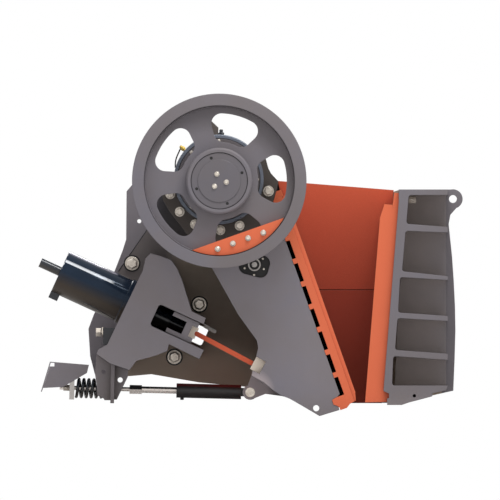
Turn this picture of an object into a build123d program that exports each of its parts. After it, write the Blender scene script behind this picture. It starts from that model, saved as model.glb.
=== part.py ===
from build123d import *
from math import atan2, cos, degrees, hypot, radians, sin
import os

# Single-toggle jaw crusher, shown with its near side plate left off
# Millimetres: X to the feed front, Y across the jaw to the far side, Z up
# The origin is the middle of the front foot's flat face
# Places in the side view are shares of these two sizes
body_length = 4000.0
body_height = 3000.0

# Widths across the machine
chamber_width = 1200.0
cheek_thickness = 50.0
plate_thickness = 70.0
housing_length = 180.0
wheel_gap = 30.0
wheel_width = 300.0
pitman_side_gap = 15.0
die_side_gap = 10.0

# Clearances and overruns
seat_gap = 0.3
moving_gap = 6.0
cut_overrun = 40.0

half_chamber = chamber_width / 2
plate_inner = half_chamber + cheek_thickness
plate_outer = plate_inner + plate_thickness
housing_outer = plate_outer + housing_length
wheel_inner = housing_outer + wheel_gap
wheel_outer = wheel_inner + wheel_width
pitman_half = half_chamber - pitman_side_gap
die_half = half_chamber - die_side_gap

# Main places in the side view
shaft_shares = (-0.414, 0.706)
rear_tip_shares = (-0.467, 0.224)
front_tip_shares = (-0.326, 0.124)
cylinder_end_shares = (-0.790, 0.421)
tension_pin_shares = (-0.341, 0.040)
tension_end_shares = (-0.791, 0.055)
face_low_shares = (-0.139, 0.071)
face_high_shares = (-0.288, 0.633)
fixed_low_shares = (-0.026, 0.044)
fixed_high_shares = (0.010, 0.640)

# Crank
throw = 14.0
throw_angle = 109.5
shaft_radius = 150.0
shaft_end_radius = 130.0
journal_radius = 170.0
bearing_inset = 25.0
journal_half = pitman_half - bearing_inset
bearing_radius = 260.0
bearing_length = 190.0

os.makedirs("parts", exist_ok=True)


def spot(pair):
    return (pair[0] * body_length, pair[1] * body_height)


def spots(pairs):
    return [spot(pair) for pair in pairs]


def turned(start, angle, along, across=0.0):
    # the place reached by going along a direction and then to its left
    x = start[0] + along * cos(radians(angle)) - across * sin(radians(angle))
    z = start[1] + along * sin(radians(angle)) + across * cos(radians(angle))
    return (x, z)


def heading(start, end):
    return degrees(atan2(end[1] - start[1], end[0] - start[0]))


def reach(start, end):
    return hypot(end[0] - start[0], end[1] - start[1])


def side_plane(far_y):
    # local x is X, local y is Z, and an extrusion goes towards the near side
    return Plane(origin=(0, far_y, 0), x_dir=(1, 0, 0), z_dir=(0, -1, 0))


def axis_plane(place, angle, mid_y=0.0):
    # square to an axis that lies in the side view, with local x along Y
    along = (cos(radians(angle)), 0, sin(radians(angle)))
    return Plane(origin=(place[0], mid_y, place[1]), x_dir=(0, 1, 0), z_dir=along)


def save(part, name):
    part.label = name
    export_step(part, "parts/" + name + ".step")


shaft_place = spot(shaft_shares)
journal_place = turned(shaft_place, throw_angle, throw)
rear_tip = spot(rear_tip_shares)
front_tip = spot(front_tip_shares)
cylinder_end = spot(cylinder_end_shares)
cylinder_angle = heading(cylinder_end, rear_tip)
toggle_angle = heading(rear_tip, front_tip)
tension_pin_place = spot(tension_pin_shares)
tension_angle = heading(tension_pin_place, spot(tension_end_shares))
face_low = spot(face_low_shares)
face_angle = heading(face_low, spot(face_high_shares))
fixed_low = spot(fixed_low_shares)
fixed_angle = heading(fixed_low, spot(fixed_high_shares))

# Far side plate, with its lifting eye and the window at the toggle's rear seat
saddle_radius = 400.0
eye_radius = 92.0
eye_hole_radius = 37.0
plate_shaft_hole_radius = 230.0
toggle_window_size = 170.0
toggle_window_corner = 20.0
plate_hole_radius = 19.0
eye_shares = (0.138, 0.649)
side_plate_shares = [
    (-0.526, 0.731), (-0.619, 0.695), (-0.633, 0.673), (-0.634, 0.522), (-0.642, 0.488), (-0.661, 0.423),
    (-0.711, 0.283), (-0.723, 0.240), (-0.719, 0.154), (-0.708, 0.097), (-0.690, 0.090), (-0.625, 0.091),
    (-0.574, 0.097), (-0.461, 0.071), (-0.348, 0.057), (-0.250, 0.035), (-0.130, 0.006), (0.032, 0.007),
    (0.089, 0.030), (0.139, 0.045), (0.142, 0.142), (0.144, 0.236), (0.143, 0.310), (0.140, 0.392),
    (0.136, 0.468), (0.128, 0.570), (0.132, 0.599), (0.150, 0.626), (0.138, 0.679), (0.010, 0.677),
    (-0.002, 0.672), (-0.276, 0.700),
]
side_plate_hole_shares = [(-0.603, 0.579), (-0.622, 0.362)]
eye_place = spot(eye_shares)

with BuildPart() as far_side_plate:
    with BuildSketch(side_plane(plate_outer)):
        Polygon(*spots(side_plate_shares), align=None)
        with Locations(shaft_place):
            Circle(saddle_radius)
        with Locations(eye_place):
            Circle(eye_radius)
        with Locations(shaft_place):
            Circle(plate_shaft_hole_radius, mode=Mode.SUBTRACT)
        with Locations(eye_place):
            Circle(eye_hole_radius, mode=Mode.SUBTRACT)
        with Locations(*spots(side_plate_hole_shares)):
            Circle(plate_hole_radius, mode=Mode.SUBTRACT)
        with Locations(rear_tip):
            RectangleRounded(toggle_window_size, toggle_window_size, toggle_window_corner,
                             rotation=cylinder_angle, mode=Mode.SUBTRACT)
    extrude(amount=plate_thickness)
save(far_side_plate.part, "far_side_plate")

# Pitman casting: barrel, head, die face, toe and rear pockets
barrel_radius = 425.0
bore_radius = bearing_radius + seat_gap
toe_hole_radius = 29.0
pitman_outline_shares = [
    (-0.521, 0.734), (-0.550, 0.668), (-0.546, 0.643), (-0.531, 0.609), (-0.515, 0.582), (-0.432, 0.433),
    (-0.369, 0.284), (-0.325, 0.203), (-0.322, 0.180), (-0.338, 0.093), (-0.308, 0.071), (-0.289, 0.049),
    (-0.268, 0.030), (-0.248, 0.020), (-0.223, 0.001), (-0.177, -0.035), (-0.1299, -0.0158),
    (-0.1323, -0.0047), (-0.1441, 0.0016), (-0.1477, 0.0158), (-0.1358, 0.0252), (-0.1294, 0.0347),
    face_high_shares, (-0.279, 0.675), (-0.274, 0.704), (-0.292, 0.730), (-0.298, 0.746), (-0.304, 0.776),
]
toe_hole_shares = (-0.185, -0.010)
lug_outline_shares = [
    (-0.3485, 0.057), (-0.338, 0.093), (-0.289, 0.085), (-0.260, 0.055), (-0.248, 0.022), (-0.266, 0.028),
    (-0.305, 0.035), (-0.333, 0.020),
]
hoist_outline_shares = [(-0.471, 0.800), (-0.471, 0.903), (-0.435, 0.898), (-0.416, 0.874), (-0.416, 0.800)]
hoist_half = 40.0
lug_radius = 71.0
lug_ear_inner = 62.0
lug_ear_outer = 122.0
tension_pin_radius = 46.0
tension_cylinder_radius = 68.0
seat_block_depth = 72.0
seat_lip = 30.0
notch_overrun = 160.0
seat_block_half_height = 66.0
toggle_tip_radius = 23.0
toggle_half = 450.0
seat_end_thickness = 34.0
groove_radius = toggle_tip_radius + throw + moving_gap
groove_place = turned(front_tip, throw_angle, throw)
recess_length = 284.0
recess_height = 214.0
recess_angle = -15.0
recess_corner = 75.0
recess_depth = 30.0
recess_boss_radius = 60.0
recess_shares = (-0.331, 0.442)
face_wall = 150.0
side_wall = 75.0
rib_wall = 50.0
pocket_count = 3
pocket_low = 330.0
pocket_length = 900.0
pocket_corner = 40.0
pitman_outline = spots(pitman_outline_shares)
pocket_width = (2 * pitman_half - 2 * side_wall - (pocket_count - 1) * rib_wall) / pocket_count
recess_place = spot(recess_shares)

with BuildPart() as pitman:
    with BuildSketch(side_plane(pitman_half)):
        Polygon(*pitman_outline, align=None)
        with Locations(journal_place):
            Circle(barrel_radius)
    extrude(amount=2 * pitman_half)
    with BuildSketch(side_plane(hoist_half)):
        Polygon(*spots(hoist_outline_shares), align=None)
    extrude(amount=2 * hoist_half)
    # fork for the tension cylinder's eye
    with BuildSketch(side_plane(lug_ear_outer)):
        Polygon(*spots(lug_outline_shares), align=None)
        with Locations(tension_pin_place):
            Circle(lug_radius)
    extrude(amount=2 * lug_ear_outer)
    with BuildSketch(side_plane(lug_ear_inner)):
        with Locations(tension_pin_place):
            Circle(lug_radius + 2 * moving_gap)
    extrude(amount=2 * lug_ear_inner, mode=Mode.SUBTRACT)
    # bore, toe hole and pin holes
    with BuildSketch(side_plane(pitman_half)):
        with Locations(journal_place):
            Circle(bore_radius)
        with Locations(spot(toe_hole_shares)):
            Circle(toe_hole_radius)
        with Locations(tension_pin_place):
            Circle(tension_pin_radius)
        with Locations(turned(groove_place, toggle_angle, (seat_block_depth - notch_overrun) / 2)):
            Rectangle(seat_block_depth + notch_overrun, 2 * seat_block_half_height, rotation=toggle_angle)
    extrude(amount=2 * pitman_half, mode=Mode.SUBTRACT)
    # oval recess with a boss in each side face
    for recess_far_y in (pitman_half, -pitman_half + recess_depth):
        with BuildSketch(side_plane(recess_far_y)):
            with Locations(recess_place):
                RectangleRounded(recess_length, recess_height, recess_corner, rotation=recess_angle)
                Circle(recess_boss_radius, mode=Mode.SUBTRACT)
        extrude(amount=recess_depth, mode=Mode.SUBTRACT)
    # pockets between the rear ribs
    for index in range(pocket_count):
        pocket_mid = (index - (pocket_count - 1) / 2) * (pocket_width + rib_wall)
        with BuildSketch(side_plane(pocket_mid + pocket_width / 2)):
            with Locations(turned(face_low, face_angle, pocket_low + pocket_length / 2,
                                  face_wall + pocket_length / 2)):
                RectangleRounded(pocket_length, pocket_length, pocket_corner, rotation=face_angle)
        extrude(amount=pocket_width, mode=Mode.SUBTRACT)
save(pitman.part, "pitman")

# Cream seat block in the pitman, with a groove wide enough for the crank's throw and closed ends
groove_half = toggle_half + moving_gap
seat_block_half = groove_half + seat_end_thickness
with BuildPart() as pitman_toggle_seat:
    with BuildSketch(side_plane(seat_block_half)):
        with Locations(turned(groove_place, toggle_angle, (seat_block_depth - seat_lip) / 2)):
            Rectangle(seat_block_depth + seat_lip, 2 * seat_block_half_height, rotation=toggle_angle)
    extrude(amount=2 * seat_block_half)
    with BuildSketch(side_plane(groove_half)):
        with Locations(groove_place):
            Circle(groove_radius)
        with Locations(turned(groove_place, toggle_angle, -seat_lip)):
            Rectangle(2 * seat_lip, 2 * groove_radius, rotation=toggle_angle)
    extrude(amount=2 * groove_half, mode=Mode.SUBTRACT)
save(pitman_toggle_seat.part, "pitman_toggle_seat")

# Toggle plate between its two rounded tips
with BuildPart() as toggle_plate:
    with BuildSketch(side_plane(toggle_half)):
        with Locations(turned(rear_tip, toggle_angle, reach(rear_tip, front_tip) / 2)):
            SlotCenterToCenter(reach(rear_tip, front_tip), 2 * toggle_tip_radius, rotation=toggle_angle)
    extrude(amount=2 * toggle_half)
save(toggle_plate.part, "toggle_plate")

# Setting cylinder's piston, which pushes a beam in the rear frame's slot
piston_radius = 104.0
piston_start_share = 0.2956
rod_radius = 62.0
rear_seat_depth = 66.0
rear_seat_half_height = 55.0
rear_seat_setback = 2.0
slot_half_height = 111.0
slot_length = 158.0
slot_corner_radius = 30.0
beam_setback = 16.0
beam_depth = 265.0
beam_end_gap = 50.0
beam_window_length = 148.0
cylinder_radius = 211.0
cylinder_length_share = 0.4962
cylinder_base = 60.0
cylinder_rim_length = 40.0
cylinder_rim_radius = 223.0
tip_distance = reach(cylinder_end, rear_tip)
cylinder_length = cylinder_length_share * tip_distance
piston_start = piston_start_share * tip_distance
rear_seat_front = tip_distance - rear_seat_setback
rear_seat_back = rear_seat_front - rear_seat_depth
beam_front = tip_distance - beam_setback
beam_back = beam_front - beam_depth
beam_window_end = beam_back + beam_window_length
piston_end = beam_back - seat_gap
slot_start = piston_end - slot_length
slot_end = tip_distance + toggle_window_size + cut_overrun

with BuildPart() as setting_piston:
    with BuildSketch(axis_plane(turned(cylinder_end, cylinder_angle, piston_start), cylinder_angle)):
        Circle(piston_radius)
    extrude(amount=piston_end - piston_start)
    with BuildSketch(axis_plane(turned(cylinder_end, cylinder_angle, piston_end), cylinder_angle)):
        Circle(rod_radius)
    extrude(amount=beam_window_end - seat_gap - piston_end)
save(setting_piston.part, "setting_piston")

with BuildPart() as toggle_beam:
    with BuildSketch(side_plane(plate_inner - beam_end_gap)):
        with Locations(turned(cylinder_end, cylinder_angle, (beam_front + beam_back) / 2)):
            Rectangle(beam_depth, 2 * (slot_half_height - moving_gap), rotation=cylinder_angle)
        with Locations(turned(cylinder_end, cylinder_angle, beam_back)):
            Rectangle(2 * beam_window_length, 2 * (rod_radius + seat_gap), rotation=cylinder_angle,
                      mode=Mode.SUBTRACT)
        with Locations(turned(cylinder_end, cylinder_angle, tip_distance)):
            Rectangle(2 * (tip_distance - rear_seat_back + seat_gap), 2 * (rear_seat_half_height + seat_gap),
                      rotation=cylinder_angle, mode=Mode.SUBTRACT)
    extrude(amount=2 * (plate_inner - beam_end_gap))
save(toggle_beam.part, "toggle_beam")

with BuildPart() as rear_toggle_seat:
    with BuildSketch(side_plane(toggle_half)):
        with Locations(turned(cylinder_end, cylinder_angle, rear_seat_front - rear_seat_depth / 2)):
            Rectangle(rear_seat_depth, 2 * rear_seat_half_height, rotation=cylinder_angle)
        with Locations(rear_tip):
            Circle(toggle_tip_radius + seat_gap, mode=Mode.SUBTRACT)
    extrude(amount=2 * toggle_half)
save(rear_toggle_seat.part, "rear_toggle_seat")

# Rear frame casting, slotted from the mouth back to the piston's bore for the beam
rear_frame_shares = [
    (-0.588, 0.462), (-0.576, 0.478), (-0.552, 0.469), (-0.528, 0.457), (-0.513, 0.429), (-0.502, 0.394),
    (-0.483, 0.312), (-0.479, 0.295), (-0.446, 0.274), (-0.451, 0.254), (-0.451, 0.172), (-0.461, 0.145),
    (-0.533, 0.192), (-0.537, 0.170), (-0.566, 0.155), (-0.610, 0.139), (-0.626, 0.110), (-0.672, 0.131),
    (-0.704, 0.161), (-0.700, 0.175), (-0.679, 0.190), (-0.614, 0.370), (-0.595, 0.423),
]
rear_frame_outline = spots(rear_frame_shares)

with BuildPart() as rear_frame:
    with BuildSketch(side_plane(plate_inner)):
        Polygon(*rear_frame_outline, align=None)
        with Locations(turned(cylinder_end, cylinder_angle, (slot_start + slot_end) / 2)):
            RectangleRounded(slot_end - slot_start, 2 * slot_half_height, slot_corner_radius,
                             rotation=cylinder_angle, mode=Mode.SUBTRACT)
    extrude(amount=2 * plate_inner)
    # bore for the piston and the round seat that the cylinder stands in
    with BuildSketch(axis_plane(turned(cylinder_end, cylinder_angle, cylinder_length), cylinder_angle)):
        Circle(piston_radius + seat_gap)
    extrude(amount=slot_start + slot_corner_radius - cylinder_length, mode=Mode.SUBTRACT)
    with BuildSketch(axis_plane(turned(cylinder_end, cylinder_angle, cylinder_length), cylinder_angle)):
        Circle(cylinder_rim_radius + seat_gap)
    extrude(amount=-cylinder_length, mode=Mode.SUBTRACT)
save(rear_frame.part, "rear_frame")

with BuildPart() as setting_cylinder:
    with BuildSketch(axis_plane(cylinder_end, cylinder_angle)):
        Circle(cylinder_radius)
    extrude(amount=cylinder_length)
    with BuildSketch(axis_plane(turned(cylinder_end, cylinder_angle, cylinder_length), cylinder_angle)):
        Circle(cylinder_rim_radius)
    extrude(amount=-cylinder_rim_length)
    with BuildSketch(axis_plane(turned(cylinder_end, cylinder_angle, cylinder_length), cylinder_angle)):
        Circle(piston_radius + seat_gap)
    extrude(amount=cylinder_base - cylinder_length, mode=Mode.SUBTRACT)
save(setting_cylinder.part, "setting_cylinder")

# End stub and port block on the cylinder
stub_radius = 46.0
stub_length = 205.0
port_length = 90.0
port_height = 58.0
port_width = 120.0

with BuildPart() as setting_cylinder_cap:
    with BuildSketch(axis_plane(cylinder_end, cylinder_angle)):
        Circle(stub_radius)
    extrude(amount=-stub_length)
save(setting_cylinder_cap.part, "setting_cylinder_cap")

with BuildPart() as cylinder_port_block:
    with BuildSketch(side_plane(port_width / 2)):
        with Locations(turned(cylinder_end, cylinder_angle, port_length / 2, -cylinder_radius)):
            Rectangle(port_length, 2 * port_height, rotation=cylinder_angle)
    extrude(amount=port_width)
    with BuildSketch(axis_plane(cylinder_end, cylinder_angle)):
        Circle(cylinder_radius)
    extrude(amount=cylinder_length, mode=Mode.SUBTRACT)
save(cylinder_port_block.part, "cylinder_port_block")

# Front frame casting: face wall, top and bottom bars, shelves and upright ribs
front_wall_shares = [
    fixed_low_shares, fixed_high_shares, (0.010, 0.679), (0.126, 0.679), (0.126, 0.060), (0.122, 0.046),
    (0.090, 0.037), (0.089, 0.027), (0.032, 0.007), (0.0175, 0.000), (-0.0175, 0.000), (-0.0175, 0.020),
    (-0.013, 0.022), (-0.013, 0.036),
]
fixed_hook_shares = [(-0.013, 0.036), (-0.013, 0.022), (-0.0175, 0.020), (-0.0175, 0.0095)]
front_pocket_shares = [
    [(0.0337, 0.6615), (0.160, 0.6615), (0.160, 0.5572), (0.0278, 0.5709)],
    [(0.0260, 0.5489), (0.160, 0.5415), (0.160, 0.4007), (0.0177, 0.4213)],
    [(0.0130, 0.4032), (0.160, 0.3909), (0.160, 0.2772), (0.0083, 0.2914)],
    [(0.0071, 0.2741), (0.160, 0.2618), (0.160, 0.1581), (0.0012, 0.1733)],
    [(-0.0030, 0.1544), (0.160, 0.1386), (0.160, 0.0614), (-0.0059, 0.0614)],
]
front_pocket_corner_radius = 26.0
front_rib_thickness = 50.0
front_rib_count = 2
front_hole_radius = 16.0
front_hole_shares = (0.047, 0.029)
front_rib_shares = [(0.020, 0.670), (0.122, 0.670), (0.122, 0.055), (0.000, 0.055)]

with BuildSketch() as front_pockets:
    for pocket_shares in front_pocket_shares:
        Polygon(*spots(pocket_shares), align=None)
    fillet(front_pockets.vertices(), front_pocket_corner_radius)

with BuildSketch() as front_section:
    Polygon(*spots(front_wall_shares), align=None)
    add(front_pockets.sketch_local, mode=Mode.SUBTRACT)
    Polygon(fixed_low, turned(fixed_low, fixed_angle, reach(fixed_low, spot(fixed_high_shares))),
            turned(fixed_low, fixed_angle, body_height, body_length),
            turned(fixed_low, fixed_angle, 0.0, body_length), align=None, mode=Mode.SUBTRACT)
    with Locations(spot(front_hole_shares)):
        Circle(front_hole_radius, mode=Mode.SUBTRACT)

with BuildPart() as front_frame:
    with BuildSketch(side_plane(plate_inner)):
        add(front_section.sketch_local)
    extrude(amount=2 * plate_inner)
    for index in range(front_rib_count):
        rib_mid = plate_inner * (2 * (index + 1) / (front_rib_count + 1) - 1)
        with BuildSketch(side_plane(rib_mid + front_rib_thickness / 2)):
            Polygon(*spots(front_rib_shares), align=None)
        extrude(amount=front_rib_thickness)
save(front_frame.part, "front_frame")

# Corrugated jaw dies: each is a toothed slab cut to its side outline
tooth_count = 12
tooth_depth = 38.0
tooth_land_share = 0.22
moving_tooth_phase = 0.5
fixed_tooth_phase = 0.0
moving_die_thickness = 145.0
moving_die_rise = 37.8
moving_die_drop = 270.0
moving_die_nose_length = 145.0
moving_hook_shares = [
    (-0.1566, 0.0273), (-0.1482, -0.0041), (-0.1300, -0.0078), (-0.1277, -0.0163), (-0.1124, -0.0091),
    (-0.1052, 0.0035), (-0.0913, 0.0140),
]
fixed_die_thickness = 165.0
fixed_die_top_drop = 32.8
fixed_die_drop = 121.0
fixed_die_chamfer = 130.0
fixed_die_nose = 32.0
wedge_drop = 58.8
wedge_rise = 83.2
wedge_depth = 57.0
wedge_tip_share = 0.85
groove_height = -134.0
groove_pitch = 228.0
groove_length = 178.0
groove_depth = 38.0
groove_count = 8
tooth_pitch = 2 * die_half / tooth_count
moving_die_top = reach(face_low, spot(face_high_shares)) + moving_die_rise
fixed_face_length = reach(fixed_low, spot(fixed_high_shares))
fixed_die_top = fixed_face_length - fixed_die_top_drop
wedge_seat = fixed_face_length - wedge_drop
wedge_top = fixed_face_length + wedge_rise


def toothed_section(base, crest, valley, phase):
    # the die's cross-section: crests and valleys from the near end to the far end
    land = tooth_pitch * tooth_land_share
    points = []
    for index in range(tooth_count + 1):
        mid = -die_half + (index + phase) * tooth_pitch
        for y, height in ((mid - tooth_pitch / 2 + land, valley), (mid - land, crest),
                          (mid + land, crest), (mid + tooth_pitch / 2 - land, valley)):
            if -die_half < y < die_half:
                points.append((y, height))
    near_edge = [(-die_half, base), (-die_half, points[0][1])]
    return near_edge + points + [(die_half, points[-1][1]), (die_half, base)]


with BuildPart() as moving_jaw_die:
    with BuildSketch(side_plane(die_half)):
        Polygon(face_low, *spots(moving_hook_shares),
                turned(face_low, face_angle, -moving_die_nose_length, -moving_die_thickness),
                turned(face_low, face_angle, moving_die_top, -moving_die_thickness),
                turned(face_low, face_angle, moving_die_top, 0.0), align=None)
        Polygon(*pitman_outline, align=None, mode=Mode.SUBTRACT)
        for index in range(groove_count):
            with Locations(turned(face_low, face_angle,
                                  groove_height + index * groove_pitch + groove_length / 2)):
                Rectangle(groove_length, 2 * groove_depth, rotation=face_angle, mode=Mode.SUBTRACT)
    extrude(amount=2 * die_half)
    with BuildSketch(axis_plane(turned(face_low, face_angle, -moving_die_drop - cut_overrun), face_angle)):
        Polygon(*toothed_section(body_height, -moving_die_thickness, tooth_depth - moving_die_thickness,
                                 moving_tooth_phase), align=None)
    extrude(amount=moving_die_top + moving_die_drop + 2 * cut_overrun, mode=Mode.INTERSECT)
save(moving_jaw_die.part, "moving_jaw_die")

with BuildPart() as fixed_jaw_die:
    with BuildSketch(side_plane(die_half)):
        Polygon(fixed_low, *spots(fixed_hook_shares),
                turned(fixed_low, fixed_angle, -fixed_die_drop, fixed_die_thickness),
                turned(fixed_low, fixed_angle, fixed_die_top - fixed_die_chamfer, fixed_die_thickness),
                turned(fixed_low, fixed_angle, fixed_die_top, fixed_die_thickness - fixed_die_nose),
                turned(fixed_low, fixed_angle, fixed_die_top, wedge_depth),
                turned(fixed_low, fixed_angle, wedge_seat, wedge_depth),
                turned(fixed_low, fixed_angle, wedge_seat, 0.0), align=None)
        Polygon(*spots(front_wall_shares), align=None, mode=Mode.SUBTRACT)
    extrude(amount=2 * die_half)
    with BuildSketch(axis_plane(turned(fixed_low, fixed_angle, -fixed_die_drop - cut_overrun), fixed_angle)):
        Polygon(*toothed_section(-body_height, fixed_die_thickness, fixed_die_thickness - tooth_depth,
                                 fixed_tooth_phase), align=None)
    extrude(amount=fixed_die_top + fixed_die_drop + 2 * cut_overrun, mode=Mode.INTERSECT)
save(fixed_jaw_die.part, "fixed_jaw_die")

# Wedge over the fixed die, drawn back by bolts through the face wall
bolt_width_shares = [-0.75, -0.25, 0.25, 0.75]
wedge_nut_radius = 40.0
wedge_nut_length = 75.0
with BuildPart() as fixed_jaw_wedge:
    with BuildSketch(side_plane(die_half)):
        Polygon(turned(fixed_low, fixed_angle, wedge_seat, 0.0),
                turned(fixed_low, fixed_angle, wedge_top, 0.0),
                turned(fixed_low, fixed_angle, wedge_top, wedge_depth * wedge_tip_share),
                turned(fixed_low, fixed_angle, wedge_seat, wedge_depth), align=None)
        Polygon(*spots(front_wall_shares), align=None, mode=Mode.SUBTRACT)
    extrude(amount=2 * die_half)
save(fixed_jaw_wedge.part, "fixed_jaw_wedge")

wedge_nut_shares = (0.032, 0.647)
wedge_nut_place = spot(wedge_nut_shares)
with BuildPart() as wedge_bolts:
    for width_share in bolt_width_shares:
        with BuildSketch(axis_plane((wedge_nut_place[0] + wedge_nut_length, wedge_nut_place[1]), 0.0,
                                    width_share * die_half)):
            RegularPolygon(wedge_nut_radius, 6)
        extrude(amount=-wedge_nut_length - cut_overrun)
    with BuildSketch(side_plane(plate_inner)):
        add(front_section.sketch_local)
    extrude(amount=2 * plate_inner, mode=Mode.SUBTRACT)
save(wedge_bolts.part, "wedge_bolts")

# Clamp that wedges the moving die's top under the pitman's head
clamp_height = 64.0
clamp_back = -10.0
clamp_front = 122.0
with BuildPart() as moving_jaw_clamp:
    with BuildSketch(side_plane(die_half)):
        Polygon(turned(face_low, face_angle, moving_die_top, -clamp_back),
                turned(face_low, face_angle, moving_die_top, -clamp_front),
                turned(face_low, face_angle, moving_die_top + clamp_height, -clamp_front),
                turned(face_low, face_angle, moving_die_top + clamp_height, -clamp_back), align=None)
        Polygon(*pitman_outline, align=None, mode=Mode.SUBTRACT)
    extrude(amount=2 * die_half)
save(moving_jaw_clamp.part, "moving_jaw_clamp")

# Cheek plates on the far side plate, an upper and a lower
cheek_shares = {
    "upper_cheek_plate": [(-0.276, 0.706), (-0.002, 0.677), (-0.015, 0.364), (-0.214, 0.364)],
    "lower_cheek_plate": [(-0.214, 0.362), (-0.015, 0.362), (-0.030, 0.006), (-0.150, 0.006)],
}
for cheek_name, outline_shares in cheek_shares.items():
    with BuildPart() as cheek_plate:
        with BuildSketch(side_plane(plate_inner)):
            Polygon(*spots(outline_shares), align=None)
        extrude(amount=cheek_thickness)
    save(cheek_plate.part, cheek_name)

# Eccentric shaft: journals for both wheels and main bearings, and the thrown middle
hub_plate_thickness = 20.0
shaft_end = wheel_outer - hub_plate_thickness
with BuildPart() as eccentric_shaft:
    for place, radius, low_y, high_y in (
        (shaft_place, shaft_end_radius, -shaft_end, shaft_end),
        (shaft_place, shaft_radius, -wheel_inner, wheel_inner),
        (journal_place, journal_radius, -journal_half, journal_half),
    ):
        with BuildSketch(side_plane(high_y)):
            with Locations(place):
                Circle(radius)
        extrude(amount=high_y - low_y)
save(eccentric_shaft.part, "eccentric_shaft")

with BuildPart() as pitman_bearings:
    for bearing_far_y in (journal_half, -journal_half + bearing_length):
        with BuildSketch(side_plane(bearing_far_y)):
            with Locations(journal_place):
                Circle(bearing_radius)
                Circle(journal_radius + seat_gap, mode=Mode.SUBTRACT)
        extrude(amount=bearing_length)
save(pitman_bearings.part, "pitman_bearings")

# Flywheels with five windows; the far one is the belt sheave
wheel_radius = 825.0
rim_inner_radius = 714.0
hub_radius = 312.0
hub_edge_size = 14.0
hub_plate_radius = 264.0
web_thickness = 60.0
web_setback = 120.0
window_count = 5
window_start_angle = 2.0
window_inner_radius = 369.0
window_outer_radius = 638.0
window_inner_angle = 21.0
window_outer_angle = 25.0
window_corner_share = 0.353
sheave_groove_count = 7
sheave_groove_depth = 26.0
sheave_groove_pitch = 38.0
sheave_groove_bottom = 12.0
sheave_flank = 9.0

window_corner = window_corner_share * (window_outer_radius - window_inner_radius)
window_inner_corner = turned((0.0, 0.0), window_inner_angle, window_inner_radius)
window_outer_corner = turned((0.0, 0.0), window_outer_angle, window_outer_radius)
window_edge_angle = heading(window_inner_corner, window_outer_corner)
window_low = turned(window_inner_corner, window_edge_angle, -window_corner)
window_high = turned(window_outer_corner, window_edge_angle, window_corner)
with BuildSketch() as wheel_window:
    Circle(window_outer_radius)
    Circle(window_inner_radius, mode=Mode.SUBTRACT)
    Polygon(window_low, window_high, (window_high[0], -window_high[1]), (window_low[0], -window_low[1]),
            align=None, mode=Mode.INTERSECT)
    fillet(wheel_window.vertices(), window_corner)

for wheel_name, side in (("near_flywheel", -1), ("far_flywheel", 1)):
    rim_far_y = wheel_outer if side > 0 else -wheel_inner
    web_far_y = wheel_outer - web_setback if side > 0 else -wheel_outer + web_setback + web_thickness
    with BuildPart() as flywheel:
        with BuildSketch(side_plane(rim_far_y)):
            with Locations(shaft_place):
                Circle(wheel_radius)
                Circle(rim_inner_radius, mode=Mode.SUBTRACT)
                Circle(hub_radius)
        extrude(amount=wheel_width)
        with BuildSketch(side_plane(web_far_y)):
            with Locations(shaft_place):
                Circle((wheel_radius + rim_inner_radius) / 2)
                with PolarLocations(0, window_count, start_angle=window_start_angle):
                    add(wheel_window.sketch_local, mode=Mode.SUBTRACT)
        extrude(amount=web_thickness)
        with BuildSketch(side_plane(rim_far_y)):
            with Locations(shaft_place):
                Circle(shaft_end_radius)
        extrude(amount=wheel_width, mode=Mode.SUBTRACT)
        # softened hub edge and the sunk seat of the hub plate
        circles = flywheel.edges().filter_by(GeomType.CIRCLE).sort_by(Axis.Y)
        hub_edges = [edge for edge in circles if abs(edge.radius - hub_radius) < seat_gap]
        chamfer(hub_edges[-1] if side > 0 else hub_edges[0], hub_edge_size)
        with BuildSketch(side_plane(wheel_outer if side > 0 else -shaft_end)):
            with Locations(shaft_place):
                Circle(hub_plate_radius + moving_gap)
        extrude(amount=hub_plate_thickness, mode=Mode.SUBTRACT)
        if side > 0:
            with BuildSketch(Plane(origin=(shaft_place[0], 0, shaft_place[1]), x_dir=(1, 0, 0),
                                   z_dir=(0, 0, 1))):
                for index in range(sheave_groove_count):
                    groove_y = wheel_inner + wheel_width / 2
                    groove_y += (index - (sheave_groove_count - 1) / 2) * sheave_groove_pitch
                    half_mouth = sheave_groove_bottom / 2 + sheave_flank
                    Polygon((wheel_radius + seat_gap, groove_y - half_mouth),
                            (wheel_radius + seat_gap, groove_y + half_mouth),
                            (wheel_radius - sheave_groove_depth, groove_y + sheave_groove_bottom / 2),
                            (wheel_radius - sheave_groove_depth, groove_y - sheave_groove_bottom / 2),
                            align=None)
            revolve(axis=Axis((shaft_place[0], 0, shaft_place[1]), (0, 1, 0)), mode=Mode.SUBTRACT)
    save(flywheel.part, wheel_name)

# Counterweights, hub plates and their bolts
weight_radius = 704.0
weight_chord = 532.0
weight_angle = -70.5
weight_thickness = 80.0
weight_bolt_reach = 601.0
weight_bolt_spacing = 152.6
weight_bolt_count = 4
weight_bolt_radius = 24.0
weight_bolt_height = 22.0
hub_plate_step_radius = 202.0
hub_plate_step = 6.0
hub_hole_radius = 14.0
hub_hole_ring_radius = 227.0
hub_hole_angle = 19.5
hub_hole_count = 4
hub_bolt_radius = 22.0
hub_bolt_height = 16.0
hub_bolt_ring_radius = 68.0
hub_bolt_count = 3

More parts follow.
